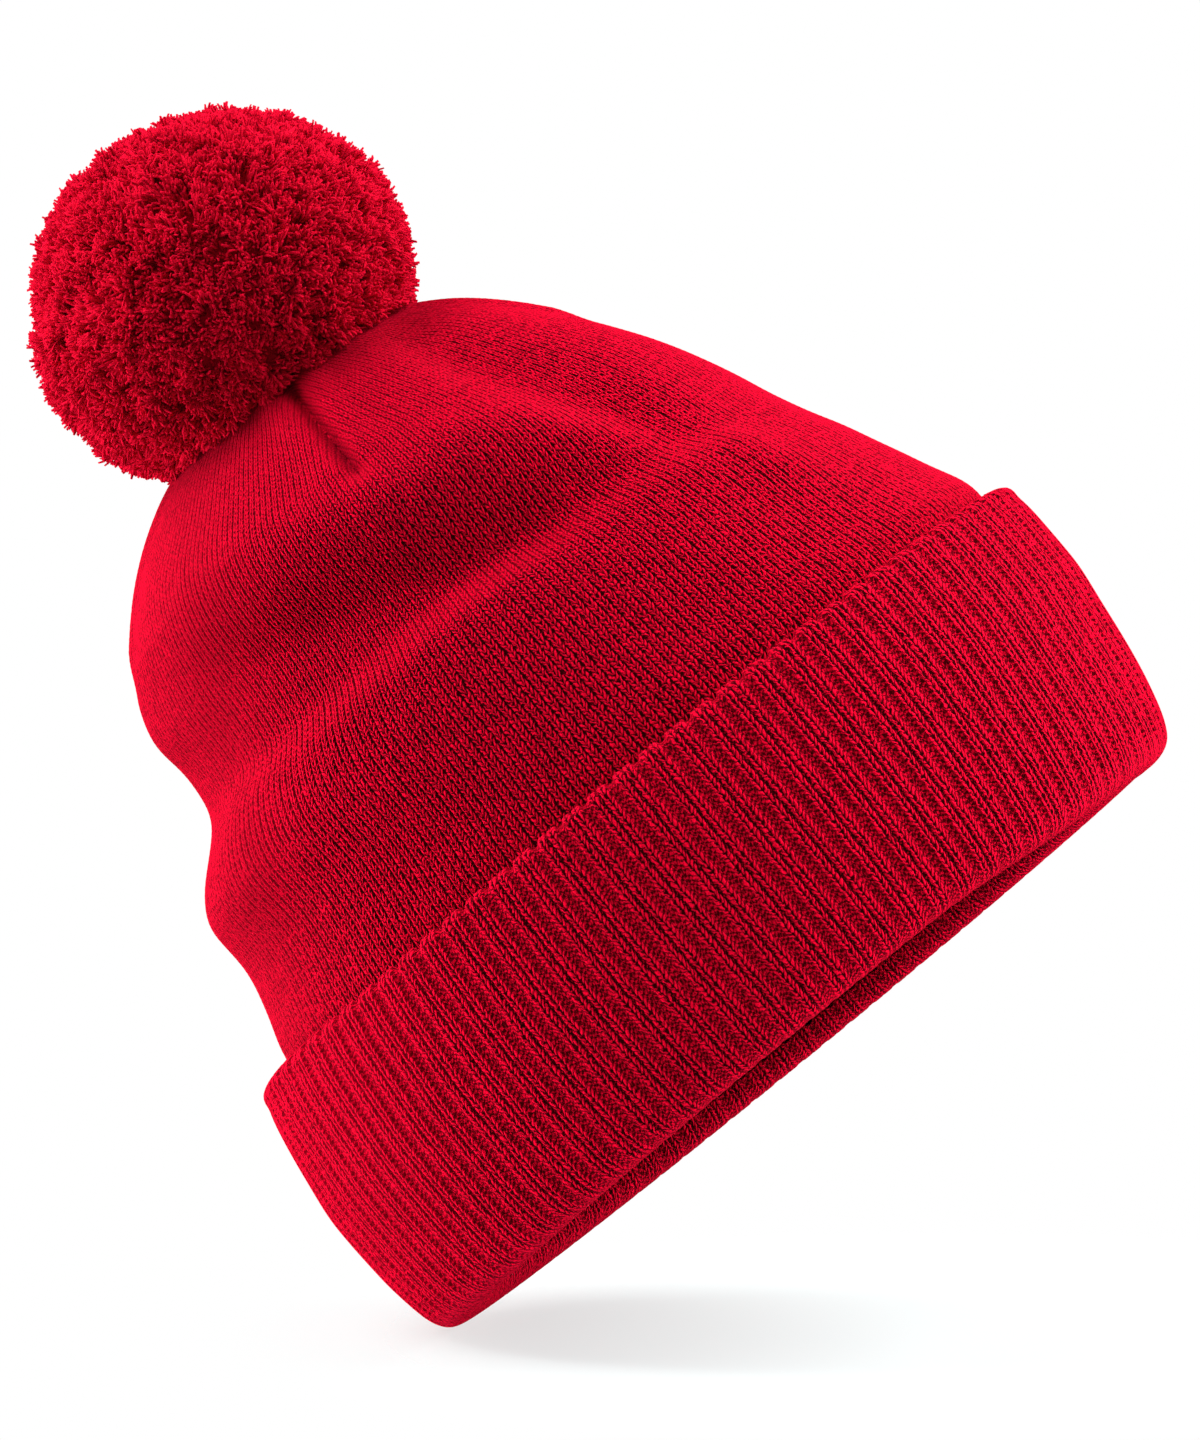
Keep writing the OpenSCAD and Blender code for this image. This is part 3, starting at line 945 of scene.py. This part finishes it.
def outside_crown(points, gap):
    """True where a point stands clear of the crown by about gap."""
    z = points[..., 2] - gap * 0.7
    left, right, depth = (np.interp(z, CROWN_ROWS[:, 0], CROWN_ROWS[:, i]) + gap
                          for i in (1, 2, 3))
    x = points[..., 0]
    width = np.where(x > 0, right, left)
    return ((x / width) ** 2 + (points[..., 1] / depth) ** 2 > 1) | (z > TOP)


def sphere_dirs(n):
    """n directions spread evenly by the golden angle."""
    i = np.arange(n) + 0.5
    z = 1 - 2 * i / n
    angle = i * math.pi * (3 - math.sqrt(5))
    r = np.sqrt(1 - z * z)
    return np.stack([r * np.cos(angle), r * np.sin(angle), z], 1)


def pom_radius(dirs):
    """Outline of the pile: fuller on top, drawn in below, uneven all over."""
    z = dirs[:, 2]
    r = (POM_R - 0.9 + 1.0 * smooth(0.6, 1, z) - 0.8 * smooth(0.2, -0.1, z)
         - 3.2 * smooth(-0.1, -0.5, z))
    return r + 0.9 * value_noise(dirs * 47, 17.0, 21) + 0.7 * value_noise(dirs * 47, 7.0, 22)


def pull_clear(dirs, radius, gap, least, step, tries):
    """Shortens radius in place until its ends are gap clear of the crown, or near least."""
    for _ in range(tries):
        bad = ~outside_crown(POM_C + dirs * radius[:, None], gap) & (radius > least)
        if not bad.any():
            break
        radius[bad] -= step


def pom_fibres(rng):
    """Centre lines (fibres, rings, 3) of the cut yarn and the shade of each fibre."""
    n = YARNS
    root_d = unit(sphere_dirs(n) + rng.normal(0, 0.011, (n, 3)))
    centres = unit(sphere_dirs(CLUMPS) + rng.normal(0, 0.02, (CLUMPS, 3)))
    near = np.argmax(root_d @ centres.T, 1)
    pull = rng.uniform(0.2, 0.6, (n, 1))
    tip_d = unit(root_d * (1 - pull) + centres[near] * pull + rng.normal(0, 0.022, (n, 3)))
    clump = rng.normal(0, 0.72, CLUMPS)
    reach = pom_radius(tip_d)
    reach = np.minimum(reach + rng.normal(0, 0.4, n) + clump[near], reach + 1.2)
    # a few yarns stick out
    reach = reach + (rng.random(n) < 0.04) * rng.uniform(0.4, 1.4, n)
    pull_clear(tip_d, reach, gap=0.8, least=12, step=0.9, tries=40)
    keep = reach > 17.5
    root_d, tip_d, reach, near = root_d[keep], tip_d[keep], reach[keep], near[keep]
    n = len(reach)
    own = rng.random(n)
    clump_lean = rng.normal(0, 0.65, (CLUMPS, 3))
    lean = flatten(clump_lean[near] + rng.normal(0, 1.0, (n, 3)), tip_d)
    # the lowest yarns start farther out, clear of the squeezed bundle when the pom pom flops
    root = np.where((POM_C + tip_d * reach[:, None])[:, 2] < 210, 18.6, 16.2)
    fibres, shades = [], []
    for _ in range(FIBRES):
        offset = flatten(rng.normal(0, 0.70, (n, 3)), tip_d)
        curl = flatten(lean + rng.normal(0, 0.9, (n, 3)), tip_d)
        tip_r = reach + rng.normal(0, 0.5, n) - 0.22 * np.linalg.norm(curl, axis=1)
        rings = []
        for set_back, spread in FIBRE_RINGS:
            r = np.maximum(tip_r - set_back, root - 0.02 * set_back)
            mix = np.clip(1 - set_back / 16, 0, 1)
            dirs = unit(root_d * (1 - mix) + tip_d * mix)
            rings.append(POM_C + dirs * r[:, None] + offset * (0.35 + 0.65 * spread)
                         + curl * spread)
        lines = np.stack(rings, 1)
        clear = outside_crown(lines[:, 4], 0.4) & outside_crown(lines[:, 2], 0.4)
        fibres.append(lines[clear])
        shades.append(np.clip(own * 0.55 + 0.45 * rng.random(n), 0, 1)[clear])
    return np.concatenate(fibres), np.concatenate(shades)


def fibre_verts(lines, rng):
    """Three-sided rings (fibres, 15, 3) round the centre lines."""
    axis = unit(lines[:, -1] - lines[:, 0])
    up = np.where(np.abs(axis[:, 2:3]) < 0.9, np.array([[0, 0, 1.0]]), np.array([[1.0, 0, 0]]))
    side = unit(np.cross(axis, up))
    other = np.cross(axis, side)
    thick = rng.uniform(0.75, 1.2, len(lines))
    spin = rng.random(len(lines)) * 2 * math.pi
    ring = []
    for k in range(SIDES):
        turn = spin + k * 2 * math.pi / SIDES
        ring.append(np.cos(turn)[:, None] * side + np.sin(turn)[:, None] * other)
    ring = np.stack(ring, 1)
    radius = RING_RADIUS[None, :, None, None] * thick[:, None, None, None]
    verts = lines[:, :, None, :] + ring[:, None] * radius
    return verts.reshape(len(lines), -1, 3)


def make_pile(name, verts, quads, tris, uv):
    """Pom pom piece; uv is by vertex. Its normals lean outwards, as a fuzzy surface looks."""
    outward = 0.15
    loops = np.concatenate([quads.ravel(), tris.ravel()]).astype(np.int32)
    sizes = np.concatenate([np.full(len(quads), 4), np.full(len(tris), 3)])
    mesh = raw_mesh(name, verts, loops, sizes)
    layer = mesh.uv_layers.new(name="OFBake")
    layer.data.foreach_set("uv", uv[loops].astype(np.float32).ravel())
    own = np.empty(len(verts) * 3, np.float32)
    mesh.vertices.foreach_get("normal", own)
    lean = (1 - outward) * own.reshape(-1, 3) + outward * unit(verts - POM_C)
    mesh.normals_split_custom_set_from_vertices(unit(lean).tolist())
    ob = add_object(name, mesh)
    ob.data.materials.append(PILE_MAT)
    return ob


def blend_to_pom(ob):
    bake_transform(ob)


def build_pile():
    rng = np.random.default_rng(41)
    lines, shades = pom_fibres(rng)
    verts = fibre_verts(lines, rng)
    tips = lines[:, -1]
    turn = (np.arctan2(tips[:, 1] - POM_C[1], tips[:, 0] - POM_C[0]) + math.pi) / (2 * math.pi)
    piece = np.minimum((turn * BINS).astype(int), BINS - 1)
    # the lowest yarns lie on the crown: they drag on it when the pom pom is twisted
    skirt = np.minimum((turn * SKIRT_BINS).astype(int), SKIRT_BINS - 1) + BINS
    piece = np.where(tips[:, 2] < SKIRT_Z, skirt, piece)
    size = verts.shape[1]
    fibre_quads = np.array([
        [s * SIDES + k, s * SIDES + k2, (s + 1) * SIDES + k2, (s + 1) * SIDES + k]
        for s in range(len(FIBRE_RINGS) - 1) for k, k2 in ((0, 1), (1, 2), (2, 0))])
    fibre_caps = np.array([[0, 2, 1], [size - 3, size - 2, size - 1]])
    v = 0.02 + 0.96 * np.repeat(RING_ALONG, SIDES)[None]
    for b in range(BINS + SKIRT_BINS):
        pick = np.where(piece == b)[0]
        first = size * np.arange(len(pick))[:, None, None]
        u = shades[pick][:, None] * 0.96 + 0.02
        ob = make_pile(f"pom_yarn_{b + 1}" if b < BINS else f"pom_skirt_{b - BINS + 1}",
                       verts[pick].reshape(-1, 3), (fibre_quads[None] + first).reshape(-1, 4),
                       (fibre_caps[None] + first).reshape(-1, 3),
                       pair(u + 0 * v, v + 0 * u).reshape(-1, 2))
        left = POM_C[0] > tips[pick, 0].mean()
        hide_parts("pom_pile_left" if left else "pom_pile_right")
        if b < BINS:
            blend_to_pom(ob)
        else:
            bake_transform(ob)


def build_pom_bed():
    """Bed of packed yarn under the cut ends, darkened by part of the pile's painted root shade."""
    columns, bands = 96, 64
    polar = np.linspace(0.0, math.pi, bands + 1)[1:-1]
    around = np.arange(columns) / columns * 2 * math.pi
    dirs = np.stack([np.sin(polar)[:, None] * np.cos(around),
                     np.sin(polar)[:, None] * np.sin(around),
                     np.cos(polar)[:, None] + 0 * around], -1).reshape(-1, 3)
    dirs = np.concatenate([dirs, [[0, 0, 1.0], [0, 0, -1.0]]])
    radius = pom_radius(dirs) - 4.2 + 0.8 * value_noise(dirs * 40, 6.0, 31)
    pull_clear(dirs, radius, gap=3.0, least=8, step=0.6, tries=60)
    # a fixed radius round the lower pole
    low = smooth(-0.90, -0.985, dirs[:, 2])
    radius = radius * (1 - low) + 7.4 * low
    ring_pairs = [(j, (j + 1) % columns) for j in range(columns)]
    top = (bands - 1) * columns
    last = (bands - 2) * columns
    quads = [[i * columns + j, (i + 1) * columns + j, (i + 1) * columns + j2, i * columns + j2]
             for i in range(bands - 2) for j, j2 in ring_pairs]
    tris = [[top, j, j2] for j, j2 in ring_pairs]
    tris += [[top + 1, last + j2, last + j] for j, j2 in ring_pairs]
    # 0.56 along the fibres: the bed lies partway into the painted root shade
    uv = np.full((len(dirs), 2), 0.56)
    uv[:, 0] = (value_noise(dirs * 40, 3.0, 32) * 0.5 + 0.5) * 0.9 + 0.05
    ob = make_pile("pom_yarn_bed", POM_C + dirs * radius[:, None],
                   np.array(quads), np.array(tris), uv)
    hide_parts("pom_pile_left", "pom_pile_right")
    blend_to_pom(ob)


# ---------------------------------------------------------------- tie cord
def build_knot():
    lo, hi = box_mm("tie_anchor_knot")
    middle, half = (lo + hi) / 2, (hi - lo) / 2
    # an open trefoil
    t = np.linspace(0.12, 2 * math.pi + 0.05, 180)
    knot = np.stack([(np.sin(t) + 2 * np.sin(2 * t)) / 3,
                     (np.cos(t) - 2 * np.cos(2 * t)) / 3, -np.sin(3 * t)], 1)
    ob = tube("tie_knot_cord", [middle + knot * (half - 1.1)], radius=1.15, sides=16,
              mat=CORD_MAT, plies=3, pitch=5.0)
    place_piece(ob, "hat_body", "tie_cord", "tie_anchor_knot")


def build_tails():
    """Two hanging cord ends with frayed tips."""
    lo, hi = box_mm("tie_tail_ends")
    paths = []
    u = np.linspace(0, 1, 60)
    for m in (-1, 1):
        x = m * (1.4 + 6.0 * np.sin(u * 1.7)) + 0.25 * np.sin(u * 19 + m)
        y = 4.9 * m * u + 0.35 * np.sin(u * 14)
        paths.append(np.stack([x, y, hi[2] - 0.9 - (hi[2] - lo[2] - 1.9) * u], 1))
    ob = tube("tie_tail_cords", paths, radius=0.9, sides=14, mat=CORD_MAT, plies=3, pitch=4.2)
    place_piece(ob, "hat_body", "tie_cord", "tie_tail_ends")
    rng = np.random.default_rng(7)
    strands = []
    u = np.linspace(0, 1, 6)[:, None]
    for path in paths:
        for _ in range(9):
            spread = [rng.normal(0, 1.3), rng.normal(0, 1.3), -rng.uniform(2.5, 4.5)]
            tip = path[-1] + np.array(spread)
            strands.append(path[-3] * (1 - u) + tip * u + rng.normal(0, 0.25, (6, 3)) * u)
    ob = tube("tie_tail_fray", strands, radius=0.22, sides=6, mat=CORD_MAT)
    place_piece(ob, "hat_body", "tie_cord", "tie_tail_ends")


def build_stem():
    """Two upright cords side by side that fill the stem's box."""
    lo, hi = box_mm("tie_stem")
    radius = (hi[1] - lo[1]) / 2
    offset = (hi[0] - lo[0]) / 2 - radius
    z = np.linspace(lo[2], hi[2], 24)
    paths = [np.stack([0 * z + m * offset, 0 * z, z], 1) for m in (-1, 1)]
    ob = tube("tie_stem_cords", paths, radius, sides=18, mat=CORD_MAT, plies=3, pitch=4.2)
    place_piece(ob, "tie_stem", "tie_cord", "tie_stem")


# ---------------------------------------------------------------- ribbon label
def drape(name, points, quads, pins, frames, most):
    """Points after a cloth run, each moved by at most most; the run's sheet is removed."""
    mesh = bpy.data.meshes.new(name)
    mesh.from_pydata((points * MM).tolist(), [], quads.tolist())
    mesh.update()
    ob = add_object(name, mesh)
    ob.vertex_groups.new(name="pin").add(pins, 1.0, "REPLACE")
    cloth = ob.modifiers.new("cloth", "CLOTH")
    settings = cloth.settings
    settings.quality = 6
    settings.mass = 0.08
    settings.tension_stiffness = settings.compression_stiffness = 25
    settings.shear_stiffness = 8
    settings.bending_stiffness = 0.6
    settings.vertex_group_mass = "pin"
    settings.shrink_min = -0.03
    cloth.collision_settings.use_self_collision = False
    scene = bpy.context.scene
    cloth.point_cache.frame_start, cloth.point_cache.frame_end = 1, frames
    for f in range(1, frames + 1):
        scene.frame_set(f)
    evaluated = ob.evaluated_get(bpy.context.evaluated_depsgraph_get())
    out = np.empty(len(points) * 3, np.float32)
    evaluated.to_mesh().vertices.foreach_get("co", out)
    out = out.reshape(-1, 3).astype(float) * 1000
    evaluated.to_mesh_clear()
    scene.frame_set(1)
    bpy.data.objects.remove(ob)
    bpy.data.meshes.remove(mesh)
    move = out - points
    size = np.linalg.norm(move, axis=1, keepdims=True)
    move *= np.minimum(1, most / np.maximum(size, 1e-9))
    return points + move


def build_ribbon():
    """Blank ribbon, folded into a loop and hanging from its upper edge."""
    lo, hi = box_mm("care_label")
    wide, tall = hi[0] - lo[0], hi[2] - lo[2]
    middle_x, middle_y = (lo[0] + hi[0]) / 2, (lo[1] + hi[1]) / 2
    nu, nv = 25, 61
    u = np.linspace(-0.5, 0.5, nu)
    v = np.linspace(0, 1, nv)
    # down the back, round the fold and up the front
    half = nv // 2
    row = np.arange(nv)
    z = np.where(row <= half, hi[2] - tall * row / half, lo[2] + tall * (row - half) / half)
    side = np.tanh((row - half) / 2.2)
    ripple = 0.25 * np.sin(v * 2 * math.pi)[:, None] * np.cos(u * 5)[None]
    points = np.stack([middle_x + wide * u[None] + 0 * z[:, None],
                       middle_y - 0.42 * side[:, None] * np.ones(nu)[None] - ripple,
                       z[:, None] + 0 * u[None]], -1).reshape(-1, 3)
    i, j = np.meshgrid(np.arange(nv - 1), np.arange(nu - 1), indexing="ij")
    quads = quad_corners(lambda r, c: r * nu + c, i, j, i + 1, j + 1).reshape(-1, 4)
    pins = [k for k in range(len(points)) if points[k][2] > hi[2] - 1.0]
    points = drape("label_drape", points, quads, pins, frames=14, most=1.1)
    half_thick = 0.14
    sheet = points.reshape(nv, nu, 3)
    normal = unit(np.cross(np.gradient(sheet, axis=1), np.gradient(sheet, axis=0)))
    verts = np.concatenate([(sheet + normal * half_thick).reshape(-1, 3),
                            (sheet - normal * half_thick).reshape(-1, 3)])
    n = nv * nu
    border = ([(0, j) for j in range(nu)] + [(i, nu - 1) for i in range(1, nv)]
              + [(nv - 1, j) for j in range(nu - 2, -1, -1)]
              + [(i, 0) for i in range(nv - 2, 0, -1)])
    ids = [r * nu + c for r, c in border]
    rim = [[b, a, a + n, b + n] for a, b in zip(ids, ids[1:] + ids[:1])]
    quads = np.concatenate([quads, quads[:, ::-1] + n, np.array(rim)])
    across, down = np.tile(u + 0.5, nv) * 0.48, np.repeat(v, nu) * 0.98 + 0.01
    uv = np.concatenate([pair(across + 0.005, down), pair(across + 0.51, down)])
    ob = make_mesh("care_label_ribbon", verts, quads, [], {"OFBake": uv[quads.ravel()]},
                   RIBBON_MAT)
    place_piece(ob, "care_label", "label_ribbon", "care_label")


def build_label_stitches():
    lo, hi = box_mm("label_stitches")
    middle_y, middle_z = (lo[1] + hi[1]) / 2, (lo[2] + hi[2]) / 2
    count = 11
    w = np.linspace(0, 1, 9)
    paths = []
    for k in range(count):
        x = lo[0] + 0.8 + (hi[0] - lo[0] - 1.6) * k / (count - 1)
        paths.append(np.stack([x + 1.3 * (w - 0.5), middle_y + 0.25 - 0.65 * np.sin(w * math.pi),
                               middle_z + 0.9 * (w - 0.5)], 1))
    ob = tube("label_stitch_row", paths, radius=0.24, sides=8, mat=WHITE_MAT, plies=2, pitch=1.6)
    place_piece(ob, "hat_body", "label_thread", "label_stitches")


build_crown()
build_cuff()
build_bands()
build_pile()
build_pom_bed()
build_knot()
build_tails()
build_stem()
build_ribbon()
build_label_stitches()

# pieces of the frame that keep their own shape
for node, mat in (
    ("crown_gather_thread", THREAD_MAT), ("pom_tie_loop", CORD_MAT),
    ("pom_binding_cord", CORD_MAT), ("pom_core", CORD_MAT),
):
    for slot in frame["nodes"][node].material_slots:
        slot.link = "OBJECT"
        slot.material = mat

# ---------------------------------------------------------------- camera, rolled to one side
DISTANCE = 4000.0
ROLL = math.radians(39.3)
VIEW_WIDTH = 332.64  # width of the view at the target
SENSOR = 36
target = np.array([7.0, 0.0, 87.7])
eye = np.array([7.0, -DISTANCE, -0.0402 * DISTANCE])

# view axes: towards the camera, then right and up in the rolled picture
toward = unit(eye - target)
level_up = np.array([0, 0, 1.0])
level_up = unit(level_up - toward * (level_up @ toward))
level_right = np.cross(level_up, toward)
right = math.cos(ROLL) * level_right - math.sin(ROLL) * level_up
up = math.cos(ROLL) * level_up + math.sin(ROLL) * level_right

camera = bpy.data.cameras.new("camera")
camera.sensor_width = SENSOR
camera.lens = SENSOR * np.linalg.norm(eye - target) / VIEW_WIDTH
camera.clip_start, camera.clip_end = 0.1, 50
camera_ob = add_object("camera", camera)
camera_ob.matrix_world = Matrix(
    [[right[i], up[i], toward[i], eye[i] / 1000] for i in range(3)] + [[0, 0, 0, 1]])
bpy.context.scene.camera = camera_ob


# ---------------------------------------------------------------- floors (metres)
# One lies under the tilted hat for rolled cameras, one under the standing hat for all others.
def light_path(nt, output):
    return Val(nt, nt.nodes.new("ShaderNodeLightPath").outputs[output])


def floor_material(name, for_rolled, fade):
    """Paper that melts into the white surround between the two fade distances."""
    mat, nt, shader = new_material(name)
    # a little cyan: a painted offset against the red light that the hat throws on the floor
    shader.inputs["Base Color"].default_value = (0.222, 0.25, 0.25, 1)
    shader.inputs["Roughness"].default_value = 0.9
    shader.inputs["Specular IOR Level"].default_value = 0.0
    shader.inputs["Emission Color"].default_value = (1, 1, 1, 1)
    feed(shader.inputs["Emission Strength"], light_path(nt, "Is Camera Ray") * 0.64)
    length = nt.nodes.new("ShaderNodeVectorMath")
    length.operation = "LENGTH"
    nt.links.new(object_coords(nt), length.inputs[0])
    near = Val(nt, length.outputs["Value"]).ramp(*fade, low=1.0, high=0.0)
    # a camera is rolled when world up leans well to the left in its picture
    turned = nt.nodes.new("ShaderNodeVectorTransform")
    turned.vector_type = "VECTOR"
    turned.convert_from, turned.convert_to = "WORLD", "CAMERA"
    turned.inputs[0].default_value = (0, 0, 1)
    rolled = components(nt, turned.outputs[0])[0].less(-0.3)
    shadow_ray = light_path(nt, "Is Shadow Ray")
    # clear from below, so that the hat's inside can be looked at
    under = Val(nt, nt.nodes.new("ShaderNodeNewGeometry").outputs["Backfacing"])
    show = (rolled if for_rolled else 1.0 - rolled) * near * (1.0 - shadow_ray) * (1.0 - under)
    clear = nt.nodes.new("ShaderNodeBsdfTransparent")
    mix = nt.nodes.new("ShaderNodeMixShader")
    feed(mix.inputs[0], show)
    nt.links.new(clear.outputs[0], mix.inputs[1])
    nt.links.new(shader.outputs[0], mix.inputs[2])
    nt.links.new(mix.outputs[0], nt.nodes["Material Output"].inputs["Surface"])
    return mat


def add_floor(name, centre, normal, for_rolled, fade):
    bpy.ops.mesh.primitive_plane_add(size=4.0)
    ob = bpy.context.active_object
    ob.name = name
    ob.rotation_mode = "QUATERNION"
    ob.rotation_quaternion = Vector(normal).normalized().to_track_quat("Z", "Y")
    ob.location = centre
    ob.data.materials.append(floor_material(name, for_rolled, fade))
    return ob


FLOOR_PITCH = math.radians(6.5)  # how steeply the camera looks down on the tilted floor
floor_normal = math.cos(FLOOR_PITCH) * up + math.sin(FLOOR_PITCH) * toward


def cuff_low_point():
    """Least reach of the cuff along the tilted floor's normal."""
    lows = []
    for q in range(4):
        mesh = bpy.data.objects[f"cuff_rib_{q + 1}"].data
        verts = np.array([v.co[:] for v in mesh.vertices])
        lows.append(float((verts @ floor_normal).min()))
    return min(lows)


spot = right * 0.026103 - up * 0.068607
spot = spot + floor_normal * (cuff_low_point() - 0.0004 - spot @ floor_normal)
floors = (
    add_floor("floor_tilted", Vector(spot), floor_normal, for_rolled=True, fade=(0.09, 0.17)),
    add_floor("floor_level", Vector((0, 0, -0.0023)), (0, 0, 1),
              for_rolled=False, fade=(0.22, 0.75)),
)
for ob in floors:
    ob.parent = frame["bodies"]["cuff"]

# ---------------------------------------------------------------- light (metres, watts)
AIM = (0, 0, 0.12)  # the hat's middle
# name, place right, up and towards the camera from AIM, width and height, power
LIGHTS = [
    ("left", (-1.5, -0.1, -0.35), (1.2, 1.4), 21.0),
    ("hat_left", (-1.3, -0.55, -0.3), (1.2, 1.0), 19.0),
    ("low_left", (-1.0, -0.9, 0.4), (1.2, 1.0), 14.5),
    ("top_left", (-1.1, 1.1, -0.2), (1.2, 1.0), 24.0),
    ("top_left_b", (-0.95, 1.15, 0.3), (0.9, 0.8), 19.0),
    ("top_right", (1.1, 1.1, -0.3), (1.2, 1.0), 37.5),
    ("top_right_b", (0.9, 1.1, 0.3), (0.9, 0.8), 15.0),
    ("right", (1.5, 0.1, -0.35), (1.2, 1.4), 12.0),
    ("low_right", (1.2, -0.7, 0.4), (1.2, 1.0), 22.0),
    ("under", (0.9, -1.2, -0.1), (1.0, 1.0), 7.0),
    ("front", (0.0, 0.2, 2.2), (1.2, 1.2), 8.0),
]
for name, (x, y, near), size, power in LIGHTS:
    light = bpy.data.lights.new(name, "AREA")
    light.shape = "RECTANGLE"
    light.size, light.size_y = size
    light.energy = power
    ob = add_object(name, light)
    place = tuple(right * x + up * y + toward * near + np.array(AIM))
    ob.location = place
    ob.rotation_mode = "QUATERNION"
    ob.rotation_quaternion = (Vector(place) - Vector(AIM)).to_track_quat("Z", "Y")

# white to the camera, almost dark as a light
WORLD_LIGHT = 0.01
world = bpy.data.worlds.new("studio")
bpy.context.scene.world = world
world.use_nodes = True
background = world.node_tree.nodes["Background"]
background.inputs[0].default_value = (1, 1, 1, 1)
camera_ray = light_path(world.node_tree, "Is Camera Ray")
feed(background.inputs[1], camera_ray.ramp(0, 1, low=WORLD_LIGHT, high=1.0, kind="LINEAR"))
bpy.context.scene.view_settings.view_transform = "Standard"
